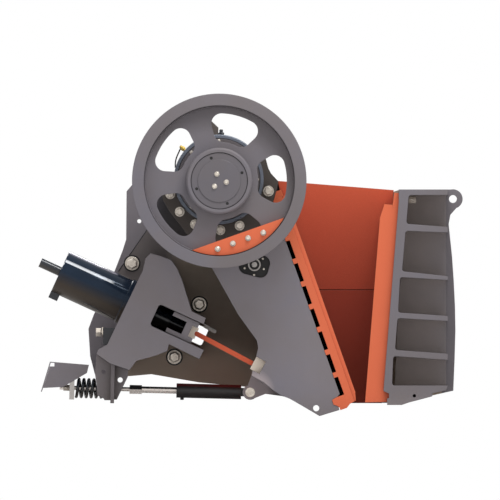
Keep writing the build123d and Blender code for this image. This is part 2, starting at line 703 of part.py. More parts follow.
weight_bolt_places = [
    turned(shaft_place, weight_angle, weight_bolt_reach,
           (index - (weight_bolt_count - 1) / 2) * weight_bolt_spacing)
    for index in range(weight_bolt_count)
]
hub_bolt_places = [
    turned(shaft_place, throw_angle + index * 360 / hub_bolt_count, hub_bolt_ring_radius)
    for index in range(hub_bolt_count)
]
weight_outer = wheel_outer - web_setback + weight_thickness
for end_name, side in (("near", -1), ("far", 1)):
    with BuildPart() as counterweight:
        with BuildSketch(side_plane(weight_outer if side > 0 else weight_thickness - weight_outer)):
            with Locations(shaft_place):
                Circle(weight_radius)
            with Locations(turned(shaft_place, weight_angle, weight_chord + weight_radius / 2)):
                Rectangle(weight_radius, 2 * weight_radius, rotation=weight_angle, mode=Mode.INTERSECT)
        extrude(amount=weight_thickness)
    save(counterweight.part, end_name + "_counterweight")
    with BuildPart() as hub_plate:
        with BuildSketch(side_plane(wheel_outer - hub_plate_step if side > 0 else -shaft_end)):
            with Locations(shaft_place):
                Circle(hub_plate_radius)
        extrude(amount=hub_plate_thickness - hub_plate_step)
        with BuildSketch(side_plane(wheel_outer if side > 0 else hub_plate_step - wheel_outer)):
            with Locations(shaft_place):
                Circle(hub_plate_step_radius)
        extrude(amount=hub_plate_step)
        with BuildSketch(side_plane(wheel_outer if side > 0 else -shaft_end)):
            with Locations(shaft_place):
                with PolarLocations(hub_hole_ring_radius, hub_hole_count, start_angle=hub_hole_angle):
                    Circle(hub_hole_radius)
        extrude(amount=hub_plate_thickness, mode=Mode.SUBTRACT)
    save(hub_plate.part, end_name + "_hub_plate")

with BuildPart() as wheel_bolts:
    for side in (-1, 1):
        with BuildSketch(side_plane(weight_outer + weight_bolt_height if side > 0 else -weight_outer)):
            with Locations(*weight_bolt_places):
                RegularPolygon(weight_bolt_radius, 6)
        extrude(amount=weight_bolt_height)
        with BuildSketch(side_plane(wheel_outer + hub_bolt_height if side > 0 else -wheel_outer)):
            with Locations(*hub_bolt_places):
                RegularPolygon(hub_bolt_radius, 6)
        extrude(amount=hub_bolt_height)
save(wheel_bolts.part, "wheel_bolts")

# Covers over the pitman's bearings, with a ring of small bolts and the head's large ones
cover_radius = 387.0
cover_thickness = 40.0
cover_hole_radius = shaft_radius + throw + 2 * moving_gap
cover_bolt_ring_radius = 363.0
cover_bolt_count = 8
cover_bolt_radius = 17.0
cover_bolt_height = 14.0
head_bolt_ring_radius = 479.0
head_bolt_angles = [197.0, 219.6, 242.0, 271.8, 294.3, 347.4]
head_bolt_radius = 44.0
head_bolt_height = 30.0
clamp_bolt_shares = (-0.297, 0.672)
cover_outer = pitman_half + cover_thickness

for end_name, side in (("near", -1), ("far", 1)):
    with BuildPart() as bearing_cover:
        with BuildSketch(side_plane(cover_outer if side > 0 else -pitman_half)):
            with Locations(journal_place):
                Circle(cover_radius)
                Circle(cover_hole_radius, mode=Mode.SUBTRACT)
        extrude(amount=cover_thickness)
    save(bearing_cover.part, end_name + "_bearing_cover")

head_bolt_places = [turned(journal_place, angle, head_bolt_ring_radius) for angle in head_bolt_angles]
with BuildPart() as pitman_bolts:
    for side in (-1, 1):
        with BuildSketch(side_plane(cover_outer + cover_bolt_height if side > 0 else -cover_outer)):
            with Locations(journal_place):
                with PolarLocations(cover_bolt_ring_radius, cover_bolt_count):
                    RegularPolygon(cover_bolt_radius, 6)
        extrude(amount=cover_bolt_height)
        with BuildSketch(side_plane(pitman_half + head_bolt_height if side > 0 else -pitman_half)):
            with Locations(*head_bolt_places, spot(clamp_bolt_shares)):
                RegularPolygon(head_bolt_radius, 6)
        extrude(amount=head_bolt_height)
save(pitman_bolts.part, "pitman_bolts")

# Main bearing housing on the far side plate
housing_radius = 330.0
housing_flange_radius = 400.0
housing_flange_thickness = 50.0
housing_cap_radius = 240.0
housing_bolt_ring_radius = 366.0
housing_bolt_count = 8
housing_bolt_radius = 30.0
housing_bolt_height = 24.0

with BuildPart() as far_bearing_housing:
    with BuildSketch(side_plane(plate_outer + housing_flange_thickness)):
        with Locations(shaft_place):
            Circle(housing_flange_radius)
    extrude(amount=housing_flange_thickness)
    with BuildSketch(side_plane(housing_outer)):
        with Locations(shaft_place):
            Circle(housing_radius)
    extrude(amount=housing_length)
    with BuildSketch(side_plane(housing_outer)):
        with Locations(shaft_place):
            Circle(shaft_radius + seat_gap)
    extrude(amount=housing_length, mode=Mode.SUBTRACT)
save(far_bearing_housing.part, "far_bearing_housing")

with BuildPart() as far_bearing_cap:
    with BuildSketch(side_plane(wheel_inner - moving_gap)):
        with Locations(shaft_place):
            Circle(housing_cap_radius)
            Circle(shaft_radius + moving_gap, mode=Mode.SUBTRACT)
    extrude(amount=wheel_gap - moving_gap)
save(far_bearing_cap.part, "far_bearing_cap")

# Bolts of the frame: the castings' joints with the far side plate, inside and outside
frame_bolt_radius = 50.0
frame_bolt_height = 40.0
frame_washer_radius = 66.0
frame_washer_thickness = 14.0
rear_bolt_shares = [(-0.620, 0.446), (-0.461, 0.317), (-0.520, 0.151)]
tie_nut_radius = 45.5
tie_nut_length = 46.0
tie_washer_radius = 52.0
tie_washer_thickness = 12.0
tie_stud_radius = 22.0
tie_side_gap = 120.0
tie_block_half_width = 50.0
tie_nut_shares = (-0.7054, 0.2292)
tie_block_shares = [(-0.6885, 0.2426), (-0.6885, 0.189), (-0.640, 0.189), (-0.640, 0.2426)]
bar_radius = 18.0
bar_width = 40.0
bar_shares = [(-0.4571, 0.2558), (-0.4253, 0.2315)]
tie_places_y = (half_chamber - tie_side_gap, tie_side_gap - half_chamber)
front_bolt_shares = [(0.062, 0.610), (0.062, 0.480), (0.062, 0.350), (0.062, 0.225), (0.062, 0.110)]

with BuildPart() as rear_frame_bolts:
    for washer_far_y, bolt_far_y in (
        (plate_inner, plate_inner - frame_washer_thickness),
        (plate_outer + frame_washer_thickness, plate_outer + frame_washer_thickness + frame_bolt_height),
    ):
        with BuildSketch(side_plane(washer_far_y)):
            with Locations(*spots(rear_bolt_shares)):
                Circle(frame_washer_radius)
        extrude(amount=frame_washer_thickness)
        with BuildSketch(side_plane(bolt_far_y)):
            with Locations(*spots(rear_bolt_shares)):
                RegularPolygon(frame_bolt_radius, 6)
        extrude(amount=frame_bolt_height)
save(rear_frame_bolts.part, "rear_frame_bolts")

# Tie bolts that point back out of the rear frame, with their blocks, and a bar by the window
tie_nut_place = spot(tie_nut_shares)
tie_block_face = spot(tie_block_shares[0])[0]
with BuildPart() as rear_tie_bolts:
    for tie_y in tie_places_y:
        with BuildSketch(axis_plane(tie_nut_place, 0.0, tie_y)):
            RegularPolygon(tie_nut_radius, 6)
        extrude(amount=tie_nut_length)
        with BuildSketch(axis_plane(tie_nut_place, 0.0, tie_y)):
            Circle(tie_stud_radius)
        extrude(amount=tie_block_face - tie_nut_place[0])
        with BuildSketch(axis_plane((tie_block_face, tie_nut_place[1]), 0.0, tie_y)):
            Circle(tie_washer_radius)
        extrude(amount=-tie_washer_thickness)
save(rear_tie_bolts.part, "rear_tie_bolts")

with BuildPart() as rear_tie_blocks:
    for tie_y in tie_places_y:
        with BuildSketch(side_plane(tie_y + tie_block_half_width)):
            Polygon(*spots(tie_block_shares), align=None)
            Polygon(*rear_frame_outline, align=None, mode=Mode.SUBTRACT)
        extrude(amount=2 * tie_block_half_width)
save(rear_tie_blocks.part, "rear_tie_blocks")

bar_start = spot(bar_shares[0])
bar_angle = heading(bar_start, spot(bar_shares[1]))
bar_length = reach(bar_start, spot(bar_shares[1]))
with BuildPart() as window_bar:
    with BuildSketch(side_plane(plate_inner)):
        with Locations(turned(bar_start, bar_angle, bar_length / 2)):
            SlotCenterToCenter(bar_length, 2 * bar_radius, rotation=bar_angle)
        Polygon(*rear_frame_outline, align=None, mode=Mode.SUBTRACT)
    extrude(amount=bar_width)
save(window_bar.part, "window_bar")

with BuildPart() as front_frame_bolts:
    with BuildSketch(side_plane(plate_outer + frame_washer_thickness)):
        with Locations(*spots(front_bolt_shares)):
            Circle(frame_washer_radius)
    extrude(amount=frame_washer_thickness)
    with BuildSketch(side_plane(plate_outer + frame_washer_thickness + frame_bolt_height)):
        with Locations(*spots(front_bolt_shares)):
            RegularPolygon(frame_bolt_radius, 6)
    extrude(amount=frame_bolt_height)
save(front_frame_bolts.part, "front_frame_bolts")

with BuildPart() as housing_bolts:
    with BuildSketch(side_plane(plate_outer + housing_flange_thickness + housing_bolt_height)):
        with Locations(shaft_place):
            with PolarLocations(housing_bolt_ring_radius, housing_bolt_count):
                RegularPolygon(housing_bolt_radius, 6)
    extrude(amount=housing_bolt_height)
save(housing_bolts.part, "housing_bolts")

# Tension gear: cylinder on the pitman's pin, rod, spring, plate, nut and guard
tension_eye_half = 56.0
tension_neck_half = 40.0
tension_neck_length = 85.0
tension_bore_share = 0.2222
tension_body_share = 0.3871
chrome_start_share = 0.2777
chrome_end_share = 0.5682
coupling_end_share = 0.6331
bracket_share = 0.7131
spring_end_share = 0.9230
chrome_radius = 31.0
coupling_radius = 48.0
thin_rod_radius = 20.0
bracket_thickness = 35.0
spring_cup_depth = 25.0
spring_plate_thickness = 46.0
spring_plate_height = 220.0
spring_plate_width = 300.0
tension_nut_radius = 33.0
tension_nut_length = 57.0
spring_radius = 97.0
spring_wire_radius = 18.0
spring_turns = 4.5
tension_length = reach(tension_pin_place, spot(tension_end_shares))
tension_bore_start = tension_bore_share * tension_length
tension_body_end = tension_body_share * tension_length
chrome_start = chrome_start_share * tension_length
chrome_end = chrome_end_share * tension_length
coupling_end = coupling_end_share * tension_length
bracket_near = bracket_share * tension_length
bracket_far = bracket_near + bracket_thickness
spring_end = spring_end_share * tension_length


def tension_plane(along):
    return axis_plane(turned(tension_pin_place, tension_angle, along), tension_angle)


with BuildPart() as tension_pin:
    with BuildSketch(side_plane(lug_ear_outer)):
        with Locations(tension_pin_place):
            Circle(tension_pin_radius)
    extrude(amount=2 * lug_ear_outer)
save(tension_pin.part, "tension_pin")

with BuildPart() as tension_cylinder:
    with BuildSketch(tension_plane(tension_neck_length)):
        Circle(tension_cylinder_radius)
    extrude(amount=tension_body_end - tension_neck_length)
    with BuildSketch(side_plane(tension_eye_half)):
        with Locations(tension_pin_place):
            Circle(tension_cylinder_radius)
        with Locations(turned(tension_pin_place, tension_angle, tension_neck_length / 2)):
            Rectangle(tension_neck_length, 2 * tension_neck_half, rotation=tension_angle)
    extrude(amount=2 * tension_eye_half)
    with BuildSketch(side_plane(tension_eye_half)):
        with Locations(tension_pin_place):
            Circle(tension_pin_radius + seat_gap)
    extrude(amount=2 * tension_eye_half, mode=Mode.SUBTRACT)
    with BuildSketch(tension_plane(tension_bore_start)):
        Circle(chrome_radius + seat_gap)
    extrude(amount=tension_body_end - tension_bore_start, mode=Mode.SUBTRACT)
save(tension_cylinder.part, "tension_cylinder")

with BuildPart() as tension_rod:
    for start, end, radius in ((chrome_start, chrome_end, chrome_radius),
                               (coupling_end, tension_length, thin_rod_radius)):
        with BuildSketch(tension_plane(start)):
            Circle(radius)
        extrude(amount=end - start)
    with BuildSketch(tension_plane(chrome_end)):
        RegularPolygon(coupling_radius, 6)
    extrude(amount=coupling_end - chrome_end)
save(tension_rod.part, "tension_rod")

with BuildPart() as spring_plate:
    with BuildSketch(tension_plane(spring_end)):
        Rectangle(spring_plate_width, spring_plate_height)
        Circle(thin_rod_radius + seat_gap, mode=Mode.SUBTRACT)
    extrude(amount=spring_plate_thickness)
save(spring_plate.part, "spring_plate")

with BuildPart() as tension_nut:
    with BuildSketch(tension_plane(spring_end + spring_plate_thickness)):
        RegularPolygon(tension_nut_radius, 6)
        Circle(thin_rod_radius + seat_gap, mode=Mode.SUBTRACT)
    extrude(amount=tension_nut_length)
save(tension_nut.part, "tension_nut")

spring_length = spring_end - seat_gap - bracket_far - 2 * spring_wire_radius
spring_start = turned(tension_pin_place, tension_angle, bracket_far + spring_wire_radius)
spring_along = (cos(radians(tension_angle)), 0, sin(radians(tension_angle)))
with BuildPart() as tension_spring:
    with BuildLine() as spring_path:
        Helix(spring_length / spring_turns, spring_length, spring_radius - spring_wire_radius,
              center=(spring_start[0], 0, spring_start[1]), direction=spring_along)
    with BuildSketch(Plane(origin=spring_path.line @ 0, z_dir=spring_path.line % 0)):
        Circle(spring_wire_radius)
    sweep(is_frenet=True)
save(tension_spring.part, "tension_spring")

# Bracket under the rear frame: cross plate with a cup for the spring's end, and two pairs of gussets
gusset_inner = 125.0
gusset_thickness = 30.0
bracket_half_width = 220.0
bracket_half_height = 136.0
bracket_rod_hole_radius = thin_rod_radius + throw + 2 * moving_gap
left_gusset_shares = [
    (-0.698, 0.168), (-0.704, 0.161), (-0.7075, 0.098), (-0.703, 0.055), (-0.702, 0.030), (-0.687, 0.020),
    (-0.685, 0.015), (-0.669, 0.015), (-0.669, 0.168),
]
right_gusset_shares = [(-0.664, 0.180), (-0.629, 0.150), (-0.629, 0.108), (-0.630, 0.089), (-0.656, 0.017),
                       (-0.664, 0.017)]
left_gusset_hole_shares = (-0.687, 0.105)
right_gusset_hole_shares = (-0.648, 0.079)
left_gusset_hole_radius = 18.0
right_gusset_hole_radius = 24.0

with BuildPart() as spring_bracket:
    with BuildSketch(side_plane(bracket_half_width)):
        with Locations(turned(tension_pin_place, tension_angle, (bracket_near + bracket_far) / 2)):
            Rectangle(bracket_thickness, 2 * bracket_half_height, rotation=tension_angle)
        with Locations(turned(tension_pin_place, tension_angle, (bracket_near + bracket_far) / 2,
                              -2 * bracket_half_height)):
            Rectangle(bracket_thickness, 2 * bracket_half_height, rotation=tension_angle)
        Polygon(*rear_frame_outline, align=None, mode=Mode.SUBTRACT)
    extrude(amount=2 * bracket_half_width)
    for gusset_far_y in (gusset_inner + gusset_thickness, -gusset_inner):
        with BuildSketch(side_plane(gusset_far_y)):
            Polygon(*spots(left_gusset_shares), align=None)
            Polygon(*spots(right_gusset_shares), align=None)
            Polygon(*rear_frame_outline, align=None, mode=Mode.SUBTRACT)
            with Locations(spot(left_gusset_hole_shares)):
                Circle(left_gusset_hole_radius, mode=Mode.SUBTRACT)
            with Locations(spot(right_gusset_hole_shares)):
                Circle(right_gusset_hole_radius, mode=Mode.SUBTRACT)
        extrude(amount=gusset_thickness)
    hole_middle = turned(turned(tension_pin_place, tension_angle, bracket_near - cut_overrun),
                         throw_angle + 180, throw)
    with BuildSketch(axis_plane(hole_middle, tension_angle)):
        Circle(bracket_rod_hole_radius)
    extrude(amount=bracket_thickness + 2 * cut_overrun, mode=Mode.SUBTRACT)
    cup_middle = turned(hole_middle, tension_angle, cut_overrun + bracket_thickness - spring_cup_depth)
    with BuildSketch(axis_plane(cup_middle, tension_angle)):
        Circle(spring_radius + throw + moving_gap)
    extrude(amount=spring_cup_depth + throw + cut_overrun, mode=Mode.SUBTRACT)
save(spring_bracket.part, "spring_bracket")

# Bent sheet guard over the spring, carried by the spring plate's ends
guard_sheet = 8.0
guard_half = spring_plate_width / 2 + guard_sheet
guard_cheek_shares = [
    (-0.8035, 0.1345), (-0.722, 0.126), (-0.7265, 0.1008), (-0.7832, 0.0567), (-0.8303, 0.0536),
    (-0.8145, 0.1216), (-0.8035, 0.1216),
]
guard_top_shares = [(-0.814, 0.1365), (-0.722, 0.1265), (-0.722, 0.1235), (-0.814, 0.1335)]
guard_back_shares = [(-0.814, 0.1365), (-0.812, 0.1335), (-0.833, 0.042), (-0.8355, 0.042)]

with BuildPart() as spring_guard:
    for cheek_far_y in (guard_half, -guard_half + guard_sheet):
        with BuildSketch(side_plane(cheek_far_y)):
            Polygon(*spots(guard_cheek_shares), align=None)
        extrude(amount=guard_sheet)
    with BuildSketch(side_plane(guard_half)):
        Polygon(*spots(guard_top_shares), align=None)
        Polygon(*spots(guard_back_shares), align=None)
    extrude(amount=2 * guard_half)
save(spring_guard.part, "spring_guard")
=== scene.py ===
import bmesh
import bpy
import math
from mathutils import Matrix, Vector


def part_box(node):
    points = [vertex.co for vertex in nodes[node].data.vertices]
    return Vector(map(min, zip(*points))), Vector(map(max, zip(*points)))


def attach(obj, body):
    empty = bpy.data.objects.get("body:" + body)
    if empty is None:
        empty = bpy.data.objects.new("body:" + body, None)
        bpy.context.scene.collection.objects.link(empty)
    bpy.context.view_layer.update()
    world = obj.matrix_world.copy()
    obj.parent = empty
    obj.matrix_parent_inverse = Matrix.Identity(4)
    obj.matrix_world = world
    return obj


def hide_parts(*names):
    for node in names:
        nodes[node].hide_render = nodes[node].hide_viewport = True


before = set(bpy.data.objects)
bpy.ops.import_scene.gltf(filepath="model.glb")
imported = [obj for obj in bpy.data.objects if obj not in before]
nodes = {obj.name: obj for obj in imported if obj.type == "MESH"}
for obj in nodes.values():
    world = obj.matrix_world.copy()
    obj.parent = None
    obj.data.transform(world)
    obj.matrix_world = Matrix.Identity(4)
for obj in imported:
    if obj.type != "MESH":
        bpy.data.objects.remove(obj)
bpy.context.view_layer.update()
print("frame loaded with", len(nodes), "nodes")

# places and directions that several pieces share, in metres
machine = {
    "shaft": (-1.656, 2.118),  # x and z
    "barrel": (-1.66067, 2.1312),
    "pitmanSide": 0.585,
    "tensionPin": (-1.364, 0.120),
    "settingWay": (0.90938, 0.0, -0.41598),
    "tensionWay": (-0.99969, 0.0, 0.02499),
}
bothEnds = (("near", -1.0), ("far", 1.0))


class Wire:
    # one output of a tree, so that a mask or a size can be written as a sum

    def __init__(self, tree, socket):
        self.tree = tree
        self.socket = socket

    def mathNode(self, operation, first, second, clamp=False):
        node = self.tree.nodes.new("ShaderNodeMath")
        node.operation = operation
        node.use_clamp = clamp
        for index, value in enumerate((first, second)):
            if isinstance(value, Wire):
                self.tree.links.new(value.socket, node.inputs[index])
            else:
                node.inputs[index].default_value = value
        return Wire(self.tree, node.outputs[0])

    def __add__(self, other):
        return self.mathNode("ADD", self, other)

    def __radd__(self, other):
        return self.mathNode("ADD", other, self)

    def __sub__(self, other):
        return self.mathNode("SUBTRACT", self, other)

    def __rsub__(self, other):
        return self.mathNode("SUBTRACT", other, self)

    def __mul__(self, other):
        return self.mathNode("MULTIPLY", self, other)

    def __rmul__(self, other):
        return self.mathNode("MULTIPLY", other, self)

    def __pow__(self, other):
        return self.mathNode("POWER", self, other)

    def __rpow__(self, other):
        return self.mathNode("POWER", other, self)

    def clamped(self):
        return self.mathNode("ADD", self, 0.0, clamp=True)


class Bench:
    # any node tree, with the one method that places a node in it

    def __init__(self, tree):
        self.tree = tree

    def make(self, kind, settings=None, inputs=None, output=0):
        node = self.tree.nodes.new(kind)
        for key, value in (settings or {}).items():
            setattr(node, key, value)
        for key, value in (inputs or {}).items():
            socket = next((s for s in node.inputs if s.identifier == key), None) or node.inputs[key]
            for entry in value if isinstance(value, list) else [value]:
                if isinstance(entry, Wire):
                    self.tree.links.new(entry.socket, socket)
                else:
                    socket.default_value = entry
        if output is None:
            return None
        found = node.outputs[output] if isinstance(output, int) else (
            next((s for s in node.outputs if s.identifier == output), None) or node.outputs[output])
        return Wire(self.tree, found)


class Finish(Bench):
    # a material

    def __init__(self, name):
        self.material = bpy.data.materials.new(name)
        self.material.use_nodes = True
        super().__init__(self.material.node_tree)
        self.tree.nodes.clear()
        self.place = self.make("ShaderNodeTexCoord", output="Object")

    def noise(self, scale, detail, roughness, stretch=None):
        vector = self.place
        if stretch:
            vector = self.make("ShaderNodeMapping", inputs={"Vector": vector, "Scale": stretch},
                               output="Vector")
        return self.make("ShaderNodeTexNoise", inputs={"Vector": vector, "Scale": scale, "Detail": detail,
                                                       "Roughness": roughness}, output="Fac")

    def spread(self, value, low, high, outLow=0.0, outHigh=1.0):
        return self.make("ShaderNodeMapRange", {"clamp": True}, {
            "Value": value, "From Min": low, "From Max": high, "To Min": outLow, "To Max": outHigh}, "Result")

    def blended(self, factor, first, second):
        colours = [c if isinstance(c, Wire) else (*c, 1.0) for c in (first, second)]
        return self.make("ShaderNodeMix", {"data_type": "RGBA"}, {
            "Factor_Float": factor, "A_Color": colours[0], "B_Color": colours[1]}, "Result_Color")

    def softEdge(self, radius):
        # the normal of a rounded edge, and how near the surface is to one
        rounded = self.make("ShaderNodeBevel", {"samples": 4}, {"Radius": radius}, "Normal")
        flat = self.make("ShaderNodeNewGeometry", output="Normal")
        sameness = self.make("ShaderNodeVectorMath", {"operation": "DOT_PRODUCT"},
                             {"Vector": rounded, "Vector_001": flat}, "Value")
        return rounded, self.spread(1 - sameness, 0.02, 0.3)

    def hollow(self, reach, samples):
        # 1 in corners and pockets, 0 on open faces
        return 1 - self.make("ShaderNodeAmbientOcclusion", {"samples": samples}, {"Distance": reach}, "AO")

    def facing(self, axis):
        # one part of the true normal, from -1 to 1
        flat = self.make("ShaderNodeNewGeometry", output="True Normal")
        return self.make("ShaderNodeSeparateXYZ", inputs={"Vector": flat}, output=axis)

    def sidePlace(self):
        # how far along the machine and how far up
        return [self.make("ShaderNodeSeparateXYZ", inputs={"Vector": self.place}, output=axis)
                for axis in "XZ"]

    def distance(self, middle):
        # from a point in the side view
        across, up = self.sidePlace()
        sideways, upwards = across - middle[0], up - middle[1]
        return (sideways * sideways + upwards * upwards) ** 0.5

    def bump(self, height, strength, depth, normal):
        return self.make("ShaderNodeBump", inputs={"Height": height, "Strength": strength, "Distance": depth,
                                                   "Normal": normal}, output="Normal")

    def shader(self, settings):
        return self.make("ShaderNodeBsdfPrincipled", inputs=settings, output="BSDF")

    def closed(self, shader):
        self.make("ShaderNodeOutputMaterial", inputs={"Surface": shader}, output=None)
        return self.material


def tinted(colour, share):
    # a colour times one share, or times a share for each channel
    shares = share if isinstance(share, tuple) else (share, share, share)
    return tuple(channel * part for channel, part in zip(colour, shares))


# painted castings; each noise is its scale, detail and roughness
castingPaint = {
    "colour": (0.180, 0.163, 0.178),
    "brownPatch": (0.92, 0.87, 0.76),  # shares of the colour
    "bluePatch": (0.92, 0.99, 1.12),
    "streak": 1.15,
    # a dusty colour and painted shade in hollows, then painted shade in corners and creases
    "dustAndShadeColour": (0.105, 0.088, 0.076),
    "creviceShade": (0.035, 0.032, 0.036),
    "worn": (0.34, 0.33, 0.35),
    "wornShare": 0.3,
    "edgeRadius": 0.008,
    "hollowReach": 0.5,
    "creviceShadeReach": 0.035,
    "patches": (1.3, 4.0, 0.55),
    "mottle": (9.0, 4.0, 0.6),
    "grain": (190.0, 2.0, 0.5),
    "streaks": (3.0, 5.0, 0.6),
    "streakStretch": (3.5, 3.5, 0.5),
    "specular": 0.3,
    "bumpStrength": 0.12,
    "bumpDepth": 0.002,
    # a painted line of shade round the shaft, then the painted wheel shadow and painted light on the pitman
    "shadeLineWidth": (0.003, 0.006),
    "wheelShadowReach": (0.70, 0.79),  # from the barrel's middle
    "paintedLightReach": (0.16, 0.24),  # from the tension pin
    "paintedLightShare": (1.9, 1.8, 1.7),
}


def paintedCasting(name, shade, dustAndShadeShare, edgeRadius=castingPaint["edgeRadius"],
                   reach=castingPaint["hollowReach"], start=0.22, dustAndShadeColour=castingPaint["dustAndShadeColour"], wheelShadowColour=None,
                   shadeLineRadius=None):
    # the last two: a painted wheel shadow's colour, with painted light near the pin, and a painted shade
    # line's radius
    paint = Finish(name)
    patches = paint.noise(*castingPaint["patches"])
    mottle = paint.noise(*castingPaint["mottle"])
    grain = paint.noise(*castingPaint["grain"])
    streaks = paint.noise(*castingPaint["streaks"], stretch=castingPaint["streakStretch"])
    rounded, edge = paint.softEdge(edgeRadius)
    base = tinted(castingPaint["colour"], shade)
    colour = paint.blended(paint.spread(patches, 0.45, 0.75, 0.0, 0.7), base,
                           tinted(base, castingPaint["brownPatch"]))
    colour = paint.blended(paint.spread(patches, 0.25, 0.45, 0.6, 0.0), colour,
                           tinted(base, castingPaint["bluePatch"]))
    colour = paint.blended(paint.spread(streaks, 0.55, 0.8, 0.0, 0.15), colour,
                           tinted(base, castingPaint["streak"]))
    # painted shade mixed with a dusty colour: hollows found by occlusion turn towards this colour
    dustAndShade = (paint.spread(paint.hollow(reach, 6), start, 0.95) * (0.75 + mottle * 0.5) * dustAndShadeShare).clamped()
    colour = paint.blended(dustAndShade, colour, dustAndShadeColour)
    # painted shade: corners and creases turn nearly black
    corner = paint.spread(paint.hollow(castingPaint["creviceShadeReach"], 6), 0.42, 0.85) * 0.75
    colour = paint.blended(corner, colour, castingPaint["creviceShade"])
    # a thin painted line of shade round the shaft
    if shadeLineRadius:
        core, fringe = castingPaint["shadeLineWidth"]
        fromShaft = paint.distance(machine["shaft"])
        line = paint.spread(fromShaft, shadeLineRadius - fringe, shadeLineRadius - core) * paint.spread(
            fromShaft, shadeLineRadius + core, shadeLineRadius + fringe, 1.0, 0.0)
        colour = paint.blended(line * 0.8, colour, castingPaint["creviceShade"])
    # painted shadow of the wheels on the flanks near the barrel, and painted light on the flanks near the
    # tension pin
    if wheelShadowColour:
        flank = paint.spread(paint.facing("Y") * paint.facing("Y"), 0.3, 0.5)
        shadedNearBarrel = paint.spread(paint.distance(machine["barrel"]), *castingPaint["wheelShadowReach"], 0.85, 0.0)
        colour = paint.blended(shadedNearBarrel * flank, colour, wheelShadowColour)
        paintedLightNearPin = paint.spread(paint.distance(machine["tensionPin"]), *castingPaint["paintedLightReach"], 1.0, 0.0)
        colour = paint.blended(paintedLightNearPin * flank, colour, tinted(base, castingPaint["paintedLightShare"]))
    wear = (edge * paint.spread(mottle, 0.35, 0.65) * castingPaint["wornShare"]).clamped()
    colour = paint.blended(wear, colour, castingPaint["worn"])
    return paint.closed(paint.shader({
        "Base Color": colour, "Roughness": 0.47 + mottle * 0.16 + dustAndShade * 0.2,
        "Specular IOR Level": castingPaint["specular"],
        "Normal": paint.bump(grain * 0.3 + mottle * 0.7, castingPaint["bumpStrength"],
                             castingPaint["bumpDepth"], rounded)}))


# the far side plate's inside takes a painted brown shade where the other castings shade it, lighter towards
# the bottom
plateShade = {
    "patches": (1.1, 5.0, 0.55),
    "mottle": (8.0, 4.0, 0.6),
    "hollowReach": 1.6,
    "step": (-2.332, 1.6565),  # a point on the joint line
    "stepSlope": 1.431,
    "rear": (-2.63, -2.61),  # where the brown begins and ends
    "front": (0.44, 0.45),
    "brown": ((0.340, 0.275, 0.220), (0.300, 0.243, 0.195)),
    "lowBrown": (0.40, 0.315, 0.245),
    "lowReach": (0.1, 1.1),
    "rearShade": (0.130, 0.112, 0.108),  # above the setting cylinder
    "rearShadeUp": (1.02, 1.12),
    "rearShadeAcross": (-2.16, -2.0),
    "barrelShade": (0.040, 0.037, 0.042),
    "barrelReach": (0.76, 0.80),
}


def shadedPlate(name):
    paint = Finish(name)
    patches = paint.noise(*plateShade["patches"])
    mottle = paint.noise(*plateShade["mottle"])
    grain = paint.noise(*castingPaint["grain"])
    rounded, edge = paint.softEdge(castingPaint["edgeRadius"])
    across, up = paint.sidePlace()
    inside = paint.spread(paint.facing("Y"), -0.6, -0.4, 1.0, 0.0)
    belowStep = paint.spread((across - plateShade["step"][0]) * plateShade["stepSlope"]
                             - (up - plateShade["step"][1]), -0.008, 0.008)
    between = (belowStep * paint.spread(across, *plateShade["rear"])
               * paint.spread(across, *plateShade["front"], 1.0, 0.0))
    # painted shade: a brown colour where other castings hollow in the plate
    shaded = (paint.spread(paint.hollow(plateShade["hollowReach"], 8), 0.12, 0.5)
              * inside * between).clamped()
    shadedNearBarrel = paint.spread(paint.distance(machine["barrel"]), *plateShade["barrelReach"],
                              1.0, 0.0) * inside
    colour = paint.blended(paint.spread(patches, 0.35, 0.7, 0.0, 0.3), castingPaint["colour"],
                           tinted(castingPaint["colour"], 0.85))
    brown = paint.blended(paint.spread(mottle, 0.35, 0.7), *plateShade["brown"])
    brown = paint.blended(paint.spread(up, *plateShade["lowReach"], 1.0, 0.0), brown, plateShade["lowBrown"])
    # darker painted shade above the setting cylinder
    rearShade = (paint.spread(up, *plateShade["rearShadeUp"])
                 * paint.spread(across, *plateShade["rearShadeAcross"], 1.0, 0.0))
    brown = paint.blended(rearShade, brown, plateShade["rearShade"])
    colour = paint.blended(shaded * 0.95, colour, brown)
    # painted shadow near the barrel, behind the wheel
    colour = paint.blended(shadedNearBarrel * 0.9, colour, plateShade["barrelShade"])
    wear = (edge * paint.spread(mottle, 0.35, 0.65) * castingPaint["wornShare"]).clamped()
    colour = paint.blended(wear, colour, castingPaint["worn"])
    return paint.closed(paint.shader({
        "Base Color": colour, "Roughness": 0.52 + mottle * 0.18,
        "Specular IOR Level": castingPaint["specular"],
        "Normal": paint.bump(grain * 0.3 + mottle * 0.7, castingPaint["bumpStrength"],
                             castingPaint["bumpDepth"], rounded)}))


# orange wear parts
wearPaint = {
    "colour": (0.680, 0.142, 0.060),
    "shaded": (0.22, 0.030, 0.014),
    "scuffed": (0.78, 0.26, 0.14),
    "scuffedShare": 0.4,
    "edgeRadius": 0.006,
    "patches": (2.2, 4.0, 0.55),
    "mottle": (16.0, 4.0, 0.65),
    "grain": (150.0, 3.0, 0.6),
}


